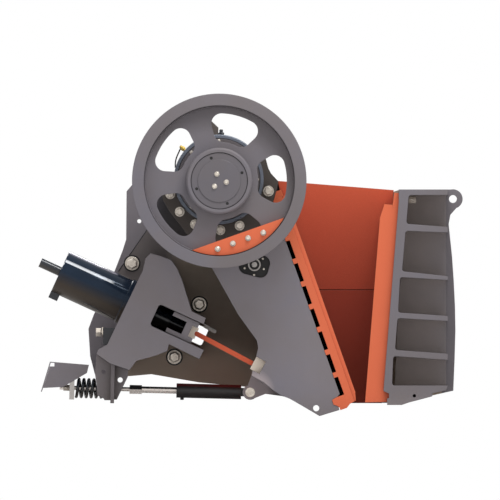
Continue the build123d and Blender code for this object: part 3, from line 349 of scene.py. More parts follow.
def wearPart(name, shade=1.0, redder=0.0, reach=0.3, shadedShare=0.75):
    paint = Finish(name)
    patches = paint.noise(*wearPaint["patches"])
    mottle = paint.noise(*wearPaint["mottle"])
    grain = paint.noise(*wearPaint["grain"])
    rounded, edge = paint.softEdge(wearPaint["edgeRadius"])
    base = tinted(tinted(wearPaint["colour"], shade), (1.0, 1 - redder, 1 - redder))
    colour = paint.blended(paint.spread(patches, 0.35, 0.7, 0.0, 0.3), base, tinted(base, 0.92))
    shaded = (paint.spread(paint.hollow(reach, 6), 0.2, 0.9) * shadedShare).clamped()
    colour = paint.blended(shaded, colour, wearPaint["shaded"])
    wear = (edge * paint.spread(mottle, 0.4, 0.62) * wearPaint["scuffedShare"]).clamped()
    colour = paint.blended(wear, colour, wearPaint["scuffed"])
    return paint.closed(paint.shader({
        "Base Color": colour, "Roughness": 0.5 + mottle * 0.18, "Specular IOR Level": 0.3,
        "Normal": paint.bump(grain * 0.5 + mottle * 0.5, 0.15, 0.002, rounded)}))


# polished blacks
blackPaint = {
    "smears": (5.0, 4.0, 0.6),
    "smearStretch": (1.0, 4.0, 1.0),
    "grain": (320.0, 2.0, 0.5),
    "smeared": 1.9,
    "worn": (0.09, 0.09, 0.095),
    "wornShare": 0.35,
    "edgeRadius": 0.006,
}


def polishedBlack(name, colour, level, roughness, under=None, over=None, tint=(1.0, 1.0, 1.0)):
    # under and over: the colours of painted shade and painted reflection on the faces that look down and up
    paint = Finish(name)
    smears = paint.noise(*blackPaint["smears"], stretch=blackPaint["smearStretch"])
    grain = paint.noise(*blackPaint["grain"])
    rounded, edge = paint.softEdge(blackPaint["edgeRadius"])
    shade = paint.blended(paint.spread(smears, 0.4, 0.7, 0.0, 0.6), colour,
                          tinted(colour, blackPaint["smeared"]))
    if under:
        shade = paint.blended(paint.spread(paint.facing("Z"), -0.55, 0.25, 0.9, 0.0), shade, under)
    if over:
        shade = paint.blended(paint.spread(paint.facing("Z"), 0.55, 0.75, 0.0, 0.9), shade, over)
    shade = paint.blended((edge * blackPaint["wornShare"]).clamped(), shade, blackPaint["worn"])
    return paint.closed(paint.shader({
        "Base Color": shade, "Roughness": roughness + smears * 0.08, "Specular IOR Level": level,
        "Specular Tint": (*tint, 1.0), "Normal": paint.bump(grain, 0.02, 0.0005, rounded)}))


# the setting cylinder: painted reflection, blue black above, brown black below, two painted highlights on top
settingPaint = {
    "upper": ((0.010, 0.018, 0.034), (0.016, 0.028, 0.050)),
    "lower": ((0.046, 0.036, 0.029), (0.036, 0.029, 0.024)),
    "lowerWorn": (0.09, 0.085, 0.08),
    "paintedHighlight": (0.90, 0.93, 0.97),
    "crest": (0.50, 0.48, 0.56),
    "bandEnd": (-2.92, -2.88),  # along the cylinder, clear of the rear frame
    "upperTint": (0.66, 0.80, 1.0, 1.0),
    "lowerTint": (1.0, 0.84, 0.70, 1.0),
}


def bandedBlack(name):
    paint = Finish(name)
    smears = paint.noise(*blackPaint["smears"], stretch=blackPaint["smearStretch"])
    rounded, edge = paint.softEdge(blackPaint["edgeRadius"])
    level = paint.facing("Z")
    across, up = paint.sidePlace()
    along = across * machine["settingWay"][0] + up * machine["settingWay"][2]
    clearOfFrame = paint.spread(along, *settingPaint["bandEnd"], 1.0, 0.0)
    worn = (edge * blackPaint["wornShare"]).clamped()
    upper = paint.blended(paint.spread(smears, 0.4, 0.7, 0.0, 0.6), *settingPaint["upper"])
    # a painted highlight, then a painted sheen near the top
    paintedHighlight = paint.spread(level, 0.42, 0.45) * paint.spread(level, 0.51, 0.55, 1.0, 0.0) * clearOfFrame
    upper = paint.blended(paintedHighlight * 0.92, upper, settingPaint["paintedHighlight"])
    crest = paint.spread(level, 0.80, 0.84) * paint.spread(level, 0.88, 0.90, 1.0, 0.0) * clearOfFrame
    upper = paint.blended(crest * 0.8, upper, settingPaint["crest"])
    upper = paint.blended(worn, upper, blackPaint["worn"])
    lower = paint.blended(worn, paint.blended(smears, *settingPaint["lower"]), settingPaint["lowerWorn"])
    lowerShader = paint.shader({
        "Base Color": lower, "Roughness": 0.34 + smears * 0.1, "Specular IOR Level": 0.3,
        "Specular Tint": settingPaint["lowerTint"], "Normal": rounded})
    upperShader = paint.shader({
        "Base Color": upper, "Roughness": 0.1 + smears * 0.05, "Specular IOR Level": 0.24,
        "Specular Tint": settingPaint["upperTint"], "Normal": rounded})
    both = paint.make("ShaderNodeMixShader", inputs={"Fac": paint.spread(level, -0.45, 0.05),
                                                     "Shader": lowerShader, "Shader_001": upperShader},
                      output="Shader")
    return paint.closed(both)


# machined and chromed steel
steelPaint = {
    "smears": (14.0, 4.0, 0.6),
    "lines": (260.0, 2.0, 0.5),
    "smeared": 0.78,
    "edgeRadius": 0.003,
}


def brightSteel(name, colour, roughness, metal=1.0, below=None):
    # below: the colour of a painted reflection on the faces that don't look up
    steel = Finish(name)
    smears = steel.noise(*steelPaint["smears"])
    lines = steel.noise(*steelPaint["lines"])
    rounded, _ = steel.softEdge(steelPaint["edgeRadius"])
    shade = steel.blended(steel.spread(smears, 0.35, 0.7, 0.0, 0.4), colour,
                          tinted(colour, steelPaint["smeared"]))
    if below:
        shade = steel.blended(steel.spread(steel.facing("Z"), 0.3, 0.45, 1.0, 0.0), shade, below)
    return steel.closed(steel.shader({
        "Base Color": shade, "Metallic": metal, "Roughness": roughness + smears * 0.15,
        "Normal": steel.bump(lines, 0.08, 0.0008, rounded)}))


# zinc-plated bolts
zincPaint = {
    "colour": (0.86, 0.79, 0.69),
    "dull": (0.62, 0.54, 0.46),
    "stained": (0.25, 0.19, 0.14),
    "worn": (0.9, 0.87, 0.82),
    "grimeAndShade": (0.09, 0.07, 0.055),
    "under": (0.13, 0.10, 0.08),
    "grimeAndShadeReach": 0.03,
    "edgeRadius": 0.006,
    "smears": (22.0, 5.0, 0.65),
    "stains": (45.0, 3.0, 0.6),
    "grain": (420.0, 2.0, 0.5),
    "metal": 0.65,
}


def zincBolt(name):
    zinc = Finish(name)
    smears = zinc.noise(*zincPaint["smears"])
    stains = zinc.noise(*zincPaint["stains"])
    grain = zinc.noise(*zincPaint["grain"])
    rounded, edge = zinc.softEdge(zincPaint["edgeRadius"])
    shade = zinc.blended(zinc.spread(smears, 0.35, 0.68), zincPaint["colour"], zincPaint["dull"])
    shade = zinc.blended(zinc.spread(stains, 0.58, 0.72, 0.0, 0.5), shade, zincPaint["stained"])
    shade = zinc.blended((edge * 0.6).clamped(), shade, zincPaint["worn"])
    # a grimy colour and painted shade in hollows
    shade = zinc.blended((zinc.hollow(zincPaint["grimeAndShadeReach"], 4) * 0.7).clamped(), shade, zincPaint["grimeAndShade"])
    # painted shade on the faces that look down
    shade = zinc.blended(zinc.spread(zinc.facing("Z"), -0.7, 0.0, 0.6, 0.0), shade, zincPaint["under"])
    return zinc.closed(zinc.shader({
        "Base Color": shade, "Metallic": zincPaint["metal"], "Roughness": 0.2 + smears * 0.2,
        "Normal": zinc.bump(grain, 0.1, 0.0008, rounded)}))


# the toggle's seats
seatPaint = {
    "colour": (1.0, 0.86, 0.72),
    "smeared": 0.82,
    "worn": (0.8, 0.72, 0.64),
    "edgeRadius": 0.008,
    "smears": (7.0, 4.0, 0.6),
    "grain": (200.0, 2.0, 0.5),
}


def creamBlock(name):
    cream = Finish(name)
    smears = cream.noise(*seatPaint["smears"])
    grain = cream.noise(*seatPaint["grain"])
    rounded, edge = cream.softEdge(seatPaint["edgeRadius"])
    shade = cream.blended(cream.spread(smears, 0.35, 0.7, 0.0, 0.6), seatPaint["colour"],
                          tinted(seatPaint["colour"], seatPaint["smeared"]))
    shade = cream.blended((edge * 0.4).clamped(), shade, seatPaint["worn"])
    return cream.closed(cream.shader({"Base Color": shade, "Roughness": 0.42 + smears * 0.15,
                                      "Normal": cream.bump(grain, 0.08, 0.0008, rounded)}))


# the grease fitting's brass
brassPaint = {
    "colour": (0.62, 0.44, 0.10),
    "smeared": 0.6,
    "edgeRadius": 0.002,
    "smears": (60.0, 4.0, 0.6),
    "metal": 0.7,
}


def brassFitting(name):
    brass = Finish(name)
    smears = brass.noise(*brassPaint["smears"])
    rounded, _ = brass.softEdge(brassPaint["edgeRadius"])
    shade = brass.blended(smears, brassPaint["colour"], tinted(brassPaint["colour"], brassPaint["smeared"]))
    return brass.closed(brass.shader({
        "Base Color": shade, "Metallic": brassPaint["metal"], "Roughness": 0.3 + smears * 0.2,
        "Normal": brass.bump(smears, 0.1, 0.0005, rounded)}))


finishes = {
    "casting": paintedCasting("castingPaint", 1.08, 0.6),
    # the pitman, with a painted wheel shadow near the barrel and painted light near the tension pin
    "pitmanCasting": paintedCasting("pitmanPaint", 1.08, 0.6, wheelShadowColour=(0.080, 0.066, 0.054)),
    # the wheels, with a painted line of shade at the rim's inner edge
    "wheel": paintedCasting("wheelPaint", 0.9, 0.1, edgeRadius=0.01, start=0.3, shadeLineRadius=0.709),
    # darker than the other castings, with black painted shade in its hollows
    "hub": paintedCasting("hubPaint", 0.72, 1.2, edgeRadius=0.01, reach=0.03, start=0.4,
                          dustAndShadeColour=(0.012, 0.012, 0.013)),
    # a pale bluish colour that paints in the rims' reflection
    "gloss": polishedBlack("rimPaint", (0.120, 0.130, 0.160), 0.8, 0.18, tint=(0.75, 0.86, 1.0)),
    # a darker, browner copy of the casting paint: painted shade behind the wheels
    "housing": paintedCasting("housingPaint", 0.55, 1.2, reach=1.0, start=0.05, dustAndShadeColour=(0.085, 0.066, 0.052)),
    # a lighter copy of the casting paint: painted light on the shaded bracket
    "bracket": paintedCasting("bracketPaint", 1.35, 1.0, start=0.12),
    # pale brown painted shade in the pockets
    "frontCasting": paintedCasting("frontPaint", 0.9, 0.95, start=0.25, dustAndShadeColour=(0.330, 0.279, 0.256)),
    "plate": shadedPlate("platePaint"),
    "wear": wearPart("wearPaint"),
    "cheek": wearPart("cheekPaint", 0.95, redder=0.2, reach=1.2, shadedShare=0.95),
    # a darker copy of the cheek paint, as painted shade on the lower cheek plate
    "shadedLowerCheek": wearPart("lowerCheekPaint", 0.6, redder=0.35, reach=1.2, shadedShare=1.0),
    "toggle": wearPart("togglePaint", 1.05, redder=0.2),
    # painted brown reflection and shade on the faces that look down
    "black": polishedBlack("polishedBlack", (0.009, 0.013, 0.021), 0.5, 0.14, under=(0.040, 0.031, 0.025)),
    "cylinderBlack": bandedBlack("cylinderPaint"),
    # painted red reflection on the faces that look up
    "tensionBlack": polishedBlack("tensionPaint", (0.022, 0.020, 0.020), 0.4, 0.3, over=(0.10, 0.012, 0.014)),
    "satinBlack": polishedBlack("satinBlack", (0.016, 0.015, 0.015), 0.3, 0.42),
    # a dark colour with a paler painted reflection on the faces that don't look up
    "chrome": brightSteel("chromedRod", (0.03, 0.03, 0.03), 0.2, metal=0.4, below=(1.0, 0.92, 0.85)),
    "steel": brightSteel("machinedSteel", (0.46, 0.43, 0.41), 0.34),
    "zinc": zincBolt("zincBolt"),
    "cream": creamBlock("seatBlock"),
    "brass": brassFitting("brassFitting"),
}
print("materials made:", len(finishes))

wornBy = {
    "bracket": ["spring_bracket"],
    "housing": ["far_bearing_housing"],
    "pitmanCasting": ["pitman"],
    "casting": ["rear_frame", "near_bearing_cover", "far_bearing_cover", "spring_guard", "far_bearing_cap",
                "toggle_beam"],
    "wheel": ["near_flywheel", "far_flywheel"],
    "hub": ["near_hub_plate", "far_hub_plate"],
    "frontCasting": ["front_frame"],
    "plate": ["far_side_plate"],
    "wear": ["fixed_jaw_die", "moving_jaw_die", "near_counterweight", "far_counterweight", "moving_jaw_clamp",
             "fixed_jaw_wedge"],
    "cheek": ["upper_cheek_plate"],
    "shadedLowerCheek": ["lower_cheek_plate"],
    "toggle": ["toggle_plate"],
    "cylinderBlack": ["setting_cylinder"],
    "black": ["setting_cylinder_cap", "cylinder_port_block", "setting_piston", "rear_tie_blocks"],
    "tensionBlack": ["tension_cylinder"],
    "satinBlack": ["tension_spring", "pitman_bearings"],
    "chrome": ["tension_rod"],
    "steel": ["eccentric_shaft", "spring_plate", "window_bar"],
    "zinc": ["rear_frame_bolts", "front_frame_bolts", "housing_bolts", "pitman_bolts", "wheel_bolts",
             "wedge_bolts", "tension_pin", "tension_nut", "rear_tie_bolts"],
    "cream": ["pitman_toggle_seat", "rear_toggle_seat"],
}
for finishName, solidNames in wornBy.items():
    for solidName in solidNames:
        solid = nodes[solidName]
        solid.data.materials.clear()
        solid.data.materials.append(finishes[finishName])
print("materials given to the solids")


def placed(name, data):
    thing = bpy.data.objects.new(name, data)
    bpy.context.collection.objects.link(thing)
    return thing


def emptyTree(name, asked):
    # a node group with these inputs: its bench, and a wire from each of them
    tree = bpy.data.node_groups.new(name, "GeometryNodeTree")
    for label, kind in [("Geometry", "Geometry"), *asked]:
        tree.interface.new_socket(label, in_out="INPUT", socket_type="NodeSocket" + kind)
    tree.interface.new_socket("Geometry", in_out="OUTPUT", socket_type="NodeSocketGeometry")
    given = tree.nodes.new("NodeGroupInput")
    return Bench(tree), {socket.name: Wire(tree, socket) for socket in given.outputs if socket.name}


def finishedTree(bench, shape, finish):
    whole = bench.make("GeometryNodeRealizeInstances", inputs={"Geometry": shape})
    painted = bench.make("GeometryNodeSetMaterial", inputs={"Geometry": whole, "Material": finish})
    bench.make("NodeGroupOutput", inputs={"Geometry": painted}, output=None)
    return bench.tree


# bolts grow from points, each with the way it faces and how large it is
boltShape = {
    "washerHeight": 0.2,  # shares of the bolt's height and radius
    "headWidth": 0.8,
    "chamferShare": 0.22,
    "crownShare": 0.78,
    "washerSides": 28,
    "headSides": 6,
    "seed": 7,
}


def boltTree():
    bench, ask = emptyTree("boltField", [("Washer Height", "Float"), ("Head Width", "Float"),
                                         ("Chamfer Share", "Float"), ("Seed", "Int"), ("Finish", "Material")])

    def raised(shape, height):
        lift = bench.make("ShaderNodeCombineXYZ", inputs={"Z": height})
        return bench.make("GeometryNodeTransform", inputs={"Geometry": shape, "Translation": lift})

    washerTop = ask["Washer Height"]
    chamfer = (1 - washerTop) * ask["Chamfer Share"]
    headSide = (1 - washerTop) - chamfer
    washer = raised(bench.make("GeometryNodeMeshCylinder", inputs={
        "Vertices": boltShape["washerSides"], "Radius": 1.0, "Depth": washerTop}), washerTop * 0.5)
    head = raised(bench.make("GeometryNodeMeshCylinder", inputs={
        "Vertices": boltShape["headSides"], "Radius": ask["Head Width"], "Depth": headSide}),
        washerTop + headSide * 0.5)
    crown = raised(bench.make("GeometryNodeMeshCone", inputs={
        "Vertices": boltShape["headSides"], "Radius Bottom": ask["Head Width"],
        "Radius Top": ask["Head Width"] * boltShape["crownShare"], "Depth": chamfer}), washerTop + headSide)
    bolt = bench.make("GeometryNodeJoinGeometry", inputs={"Geometry": [washer, head, crown]})
    aim, size = [bench.make("GeometryNodeInputNamedAttribute", {"data_type": "FLOAT_VECTOR"}, {"Name": label})
                 for label in ("aim", "size")]
    aimed = bench.make("FunctionNodeAlignRotationToVector", {"axis": "Z"}, {"Vector": aim})
    chance = bench.make("FunctionNodeRandomValue", {"data_type": "FLOAT"},
                        {"Min_001": 0.0, "Max_001": math.tau, "Seed": ask["Seed"]}, "Value_001")
    twist = bench.make("FunctionNodeAxisAngleToRotation", inputs={"Axis": (0.0, 0.0, 1.0), "Angle": chance})
    turned = bench.make("FunctionNodeRotateRotation", {"rotation_space": "LOCAL"},
                        {"Rotation": aimed, "Rotate By": twist})
    field = bench.make("GeometryNodeInstanceOnPoints", inputs={"Points": ask["Geometry"], "Instance": bolt,
                                                               "Rotation": turned, "Scale": size})
    return finishedTree(bench, field, ask["Finish"])


def islands(name):
    # the box of each separate piece of one solid, in the order of their places
    shape = bmesh.new()
    shape.from_mesh(nodes[name].data)
    bmesh.ops.remove_doubles(shape, verts=shape.verts, dist=0.00002)
    left = set(shape.verts)
    boxes = []
    while left:
        waiting = [left.pop()]
        found = list(waiting)
        while waiting:
            for link in waiting.pop().link_edges:
                for corner in link.verts:
                    if corner in left:
                        left.discard(corner)
                        waiting.append(corner)
                        found.append(corner)
        low = Vector([min(corner.co[axis] for corner in found) for axis in range(3)])
        high = Vector([max(corner.co[axis] for corner in found) for axis in range(3)])
        boxes.append((low, high))
    shape.free()
    return sorted(boxes, key=lambda box: [round(number, 3) for number in box[0]])


def grown(name, seats, tree, values):
    # seats: where each one stands, the way it faces and its size
    start = bpy.data.meshes.new(name + "Seats")
    start.from_pydata([tuple(seat[0]) for seat in seats], [], [])
    for label, index in (("aim", 1), ("size", 2)):
        layer = start.attributes.new(label, "FLOAT_VECTOR", "POINT")
        layer.data.foreach_set("vector", [number for seat in seats for number in seat[index]])
    holder = placed(name + "Seats", start)
    grower = holder.modifiers.new("grow", "NODES")
    grower.node_group = tree
    for item in tree.interface.items_tree:
        if item.item_type == "SOCKET" and item.in_out == "INPUT" and item.name in values:
            grower[item.identifier] = values[item.name]
    result = bpy.data.meshes.new_from_object(holder.evaluated_get(bpy.context.evaluated_depsgraph_get()))
    holder.modifiers.remove(grower)
    bpy.data.objects.remove(holder)
    result.name = name
    return placed(name, result)


def boltSeats(name, middle, wider):
    # bolts along Y: each faces away from the middle plane of what it holds
    seats = []
    for low, high in islands(name):
        centre = (low + high) / 2
        away = 1.0 if centre.y > middle else -1.0
        seat = (centre.x, low.y if away > 0 else high.y, centre.z)
        radius = wider * (high.x - low.x + high.z - low.z) / 4
        seats.append((seat, (0.0, away, 0.0), (radius, radius, high.y - low.y)))
    return seats


fieldTree = boltTree()
boltInputs = {"Washer Height": boltShape["washerHeight"], "Head Width": boltShape["headWidth"],
              "Chamfer Share": boltShape["chamferShare"], "Seed": boltShape["seed"],
              "Finish": finishes["zinc"]}
boltRows = [
    # piece, body, solid that it stands for, middle plane, how much wider than the solid
    ("pitmanBolts", "pitman", "pitman_bolts", 0.0, 1.12),
    ("wheelBolts", "crankshaft", "wheel_bolts", 0.0, 1.2),
    ("rearFrameBolts", "frame", "rear_frame_bolts", 0.685, 1.0),
    ("frontFrameBolts", "frame", "front_frame_bolts", 0.685, 1.0),
    ("housingBolts", "frame", "housing_bolts", 0.685, 1.05),
]
for pieceName, body, solidName, middle, wider in boltRows:
    piece = grown(pieceName, boltSeats(solidName, middle, wider), fieldTree, boltInputs)
    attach(piece, body)
    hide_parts(solidName)
print("bolts grown:", len(boltRows), "groups")


def keptPiece(name, shape, finish, body):
    made = bpy.data.meshes.new(name)
    shape.to_mesh(made)
    shape.free()
    made.shade_smooth()
    made.set_sharp_from_angle(angle=math.radians(35.0))
    made.materials.append(finishes[finish])
    piece = placed(name, made)
    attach(piece, body)
    return piece


def spun(name, outline, base, axis, finish, body, segments=48, ring=False):
    # a turned piece: (radius, along) pairs go round the axis that starts at base
    axis = Vector(axis).normalized()
    side = axis.orthogonal().normalized()
    third = axis.cross(side)
    turns = [math.tau * index / segments for index in range(segments)]
    shape = bmesh.new()
    rows = []
    for radius, along in outline:
        middle = Vector(base) + axis * along
        if radius <= 0.0:
            rows.append([shape.verts.new(middle)])
        else:
            rows.append([shape.verts.new(middle + (side * math.cos(turn) + third * math.sin(turn)) * radius)
                         for turn in turns])
    for first, second in list(zip(rows, rows[1:])) + ([(rows[-1], rows[0])] if ring else []):
        for index in range(segments):
            after = (index + 1) % segments
            corners = [first[index % len(first)], first[after % len(first)],
                       second[after % len(second)], second[index % len(second)]]
            corners = list(dict.fromkeys(corners))  # a row on the axis is one point
            if len(corners) > 2:
                shape.faces.new(corners)
    bmesh.ops.recalc_face_normals(shape, faces=shape.faces)
    return keptPiece(name, shape, finish, body)


def slab(name, outline, nearY, farY, finish, body):
    # a plate: (x, z) corners carried from nearY to farY
    shape = bmesh.new()
    near = [shape.verts.new((x, nearY, z)) for x, z in outline]
    far = [shape.verts.new((x, farY, z)) for x, z in outline]
    shape.faces.new(near)
    shape.faces.new(list(reversed(far)))
    for index in range(len(outline)):
        after = (index + 1) % len(outline)
        shape.faces.new((near[index], far[index], far[after], near[after]))
    bmesh.ops.recalc_face_normals(shape, faces=shape.faces)
    return keptPiece(name, shape, finish, body)


def roundedBox(middle, length, height, corner, angle, steps=8):
    # corners of a rounded rectangle in the side view
    places = []
    for quarter, (sideX, sideZ) in enumerate(((1, 1), (-1, 1), (-1, -1), (1, -1))):
        for index in range(steps + 1):
            turn = math.radians(90 * (quarter + index / steps))
            x = sideX * (length / 2 - corner) + corner * math.cos(turn)
            z = sideZ * (height / 2 - corner) + corner * math.sin(turn)
            places.append((middle[0] + x * math.cos(angle) - z * math.sin(angle),
                           middle[1] + x * math.sin(angle) + z * math.cos(angle)))
    return places


def pipe(name, points, radius, finish, body):
    # a rigid pipe along a smooth line
    line = bpy.data.curves.new(name, "CURVE")
    line.dimensions = "3D"
    line.bevel_depth = radius
    line.bevel_resolution = 5
    line.resolution_u = 10
    line.use_fill_caps = True
    route = line.splines.new("NURBS")
    route.points.add(len(points) - 1)
    for point, place in zip(route.points, points):
        point.co = (*place, 1.0)
    route.order_u = 3
    route.use_endpoint_u = True
    holder = placed(name + "Line", line)
    made = bpy.data.meshes.new_from_object(holder.evaluated_get(bpy.context.evaluated_depsgraph_get()))
    bpy.data.objects.remove(holder)
    made.name = name
    made.materials.clear()
    made.materials.append(finishes[finish])
    made.shade_smooth()
    piece = placed(name, made)
    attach(piece, body)
    return piece


# the sensor port in each side of the pitman: black pan, bright ring, grey middle and four screws
port = {
    "middle": (-1.324, 1.326),
    "size": (0.280, 0.210),
    "corner": 0.073,
    "angle": math.radians(-15),
    "deep": 0.030,
    "panSheet": 0.002,
    "ring": (0.046, 0.061),
    "core": 0.026,
    "screw": [(0.0, 0.012), (0.008, 0.012), (0.011, 0.008), (0.011, 0.0), (0.0, 0.0)],
    "screwReach": 0.098,
    "screwTurns": (200.0, 268.0, 335.0, 35.0),
}
for end, away in bothEnds:
    face = away * machine["pitmanSide"]
    bottom = face - away * port["deep"]
    pan = roundedBox(port["middle"], *port["size"], port["corner"], port["angle"])
    slab(end + "PortPan", pan, face - away * (port["deep"] - port["panSheet"]), bottom, "satinBlack",
         "pitman")
    seat = (port["middle"][0], face, port["middle"][1])
    inner, outer = port["ring"]
    spun(end + "PortCap", [(0.0, 0.002), (inner, 0.002), (inner, 0.0), (0.0, 0.0)], seat, (0, away, 0),
         "satinBlack", "pitman")
    spun(end + "PortRing", [(inner, 0.0), (inner, 0.006), (inner + 0.003, 0.010), (outer - 0.003, 0.010),
                            (outer, 0.006), (outer, 0.0)], seat, (0, away, 0), "steel", "pitman",
         ring=True)
    spun(end + "PortCore", [(0.0, 0.012), (port["core"] * 0.8, 0.012), (port["core"], 0.007),
                            (port["core"], 0.002), (0.0, 0.002)], seat, (0, away, 0), "steel", "pitman")
    for degrees in port["screwTurns"]:
        turn = math.radians(degrees)
        dot = (port["middle"][0] + port["screwReach"] * math.cos(turn), bottom,
               port["middle"][1] + port["screwReach"] * math.sin(turn))
        spun(end + "PortScrew%d" % degrees, port["screw"], dot, (0, away, 0), "zinc", "pitman",
             segments=16)

# rounded rims at both ends of the pitman's barrel
rim = {"outer": 0.4245, "inner": 0.392, "proud": 0.010, "round": 0.014, "roundSteps": 6}
for end, away in bothEnds:
    seat = (machine["barrel"][0], away * machine["pitmanSide"], machine["barrel"][1])
    rounded = [(rim["inner"], 0.0), (rim["inner"], rim["proud"])]
    for index in range(rim["roundSteps"] + 1):
        turn = math.radians(90 - 90 * index / rim["roundSteps"])
        rounded.append((rim["outer"] - rim["round"] + rim["round"] * math.cos(turn),
                        rim["proud"] * math.sin(turn)))
    spun(end + "BarrelRim", rounded, seat, (0, away, 0), "gloss", "pitman", segments=96,
         ring=True)

# the setting cylinder's smooth barrel, with the collar that stands in the rear frame
barrel = {"end": (-3.160, 0.0, 1.263), "radius": 0.211, "collar": 0.223, "collarLength": 0.040,
          "bore": 0.1043, "base": 0.060, "round": 0.007}
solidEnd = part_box("setting_cylinder")[1][0]
forward, downward = machine["settingWay"][0], -machine["settingWay"][2]
collarReach = barrel["collar"] * downward
length = max(barrel["collarLength"] * 2, (solidEnd - barrel["end"][0] - collarReach) / forward)
cut = barrel["round"]
smooth = length - barrel["collarLength"]
outline = [(0.0, 0.0), (barrel["radius"] - cut, 0.0), (barrel["radius"] - cut * 0.3, cut * 0.3),
           (barrel["radius"], cut), (barrel["radius"], smooth - cut * 0.5),
           (barrel["collar"] - cut * 0.4, smooth), (barrel["collar"], smooth + cut * 0.4),
           (barrel["collar"], length), (barrel["bore"], length), (barrel["bore"], barrel["base"]),
           (0.0, barrel["base"])]
smoothCylinder = spun("smoothCylinder", outline, barrel["end"], machine["settingWay"], "cylinderBlack",
                      "frame", segments=128)
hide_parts("setting_cylinder")
print("setting cylinder", round(length, 4))

# thin black rings round the bolts inside the far plate: painted shade
boltShadowRings = {"inner": 0.058, "outer": 0.080, "height": 0.003, "slope": 0.002, "plate": 0.650,
               "middles": [(-2.480, 1.338), (-1.844, 0.951), (-2.080, 0.453)]}
for index, (x, z) in enumerate(boltShadowRings["middles"]):
    section = [(boltShadowRings["inner"], 0.0), (boltShadowRings["inner"], boltShadowRings["height"]),
               (boltShadowRings["outer"] - boltShadowRings["slope"], boltShadowRings["height"]),
               (boltShadowRings["outer"], 0.0)]
    spun("boltShadowRing%d" % index, section, (x, boltShadowRings["plate"], z), (0, -1, 0), "satinBlack", "frame",
         ring=True)

# drafted corner between the rim and the web of each flywheel
draft = {"outer": 0.7142, "inner": 0.697, "start": 0.002}
for end, away in bothEnds:
    wheelLow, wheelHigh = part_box(end + "_flywheel")
    weightLow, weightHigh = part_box(end + "_counterweight")
    face = wheelLow[1] if away < 0 else wheelHigh[1]
    web = weightHigh[1] if away < 0 else weightLow[1]
    deep = abs(face - web)
    spun(end + "RimDraft", [(draft["outer"], draft["start"]), (draft["outer"], deep), (draft["inner"], deep)],
         (machine["shaft"][0], face, machine["shaft"][1]), (0, -away, 0), "wheel", "crankshaft",
         segments=128, ring=True)
    print(end, "rim draft", round(deep, 4))

# painted shade: black discs at the bottoms of the four holes in each hub plate
hubHoleShade = {"ring": 0.227, "radius": 0.0138, "first": 19.5, "step": 0.006, "depth": 0.004, "thickness": 0.002}
for end, away in bothEnds:
    hubLow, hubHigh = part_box(end + "_hub_plate")
    face = (hubLow[1] if away < 0 else hubHigh[1]) - away * (hubHoleShade["step"] + hubHoleShade["depth"])
    section = [(0.0, hubHoleShade["thickness"]), (hubHoleShade["radius"], hubHoleShade["thickness"]),
               (hubHoleShade["radius"], 0.0), (0.0, 0.0)]
    for index in range(4):
        turn = math.radians(hubHoleShade["first"] + 90 * index)
        seat = (machine["shaft"][0] + hubHoleShade["ring"] * math.cos(turn), face,
                machine["shaft"][1] + hubHoleShade["ring"] * math.sin(turn))
        spun("%sHubHole%d" % (end, index), section, seat, (0, away, 0), "satinBlack", "crankshaft",
             segments=24)

# grease fitting on the barrel, its rigid pipe and a plug
grease = {
    "y": -0.30,
    "head": (-2.0034, 2.4267),
    "foot": (-2.0828, 2.2453),
    "plug": (-1.640, 2.556),
    "seat": 0.422,  # from the barrel's middle
    "pipeRadius": 0.0065,
    "fittingSection": [(0.0, 0.062), (0.010, 0.062), (0.016, 0.056), (0.016, 0.040), (0.024, 0.036),
                       (0.024, 0.016), (0.018, 0.012), (0.018, 0.0), (0.0, 0.0)],
    "plugSection": [(0.0, 0.052), (0.014, 0.052), (0.018, 0.046), (0.018, 0.026), (0.030, 0.022),
                    (0.030, 0.0), (0.0, 0.0)],
}
barrelMiddle, headPlace, footPlace, plugPlace = [
    Vector((place[0], grease["y"], place[1]))
    for place in (machine["barrel"], grease["head"], grease["foot"], grease["plug"])]
outwards = (headPlace - barrelMiddle).normalized()
plugWay = (plugPlace - barrelMiddle).normalized()
spun("greaseFitting", grease["fittingSection"], barrelMiddle + outwards * grease["seat"], outwards, "brass",
     "pitman", segments=6)
bow = [headPlace - outwards * 0.005, headPlace + outwards * 0.008 + Vector((-0.012, 0.0, -0.004)),
       headPlace + Vector((-0.030, 0.0, -0.028)), (headPlace + footPlace) / 2 + Vector((-0.016, 0.0, 0.008)),
       footPlace + Vector((0.010, 0.0, 0.045)), footPlace + (barrelMiddle - footPlace).normalized() * 0.012]
pipe("greasePipe", bow, grease["pipeRadius"], "satinBlack", "pitman")
spun("barrelPlug", grease["plugSection"], barrelMiddle + plugWay * grease["seat"], plugWay, "black", "pitman",
     segments=24)

# a dark joint line on the far plate
plateStep = {"outline": [(-2.339, 1.660), (-2.327, 1.668), (-2.603, 1.264), (-2.616, 1.262)], "nearY": 0.6475,
             "farY": 0.6505}
slab("plateStep", plateStep["outline"], plateStep["nearY"], plateStep["farY"], "satinBlack", "frame")

# the oil pipe under the setting cylinder, and the port under the tension cylinder
oil = {
    "route": [(-3.075, -0.050, 1.020), (-2.990, -0.115, 1.006), (-2.910, -0.122, 0.958),
              (-2.780, -0.100, 0.888), (-2.655, -0.078, 0.822), (-2.600, -0.070, 0.792)],
    "pipeRadius": 0.008,
    "tensionMiddle": (-2.008, 0.0, 0.136),
    "tensionSection": [(0.0, 0.088), (0.014, 0.088), (0.017, 0.084), (0.017, 0.060), (0.0, 0.060)],
}
pipe("oilPipe", oil["route"], oil["pipeRadius"], "black", "frame")
spun("tensionPort", oil["tensionSection"], oil["tensionMiddle"], (0, 0, -1), "satinBlack", "tension_cylinder",
     segments=24)
print("turned pieces, plates and pipes made")


# the helical spring, wound by a node tree
coil = {
    "turns": 6.5,
    "wire": 0.0145,
    "outer": 0.097,
    "endGap": 1.2,  # in wire radii
    "stepsPerTurn": 40,
    "wireSides": 14,
}


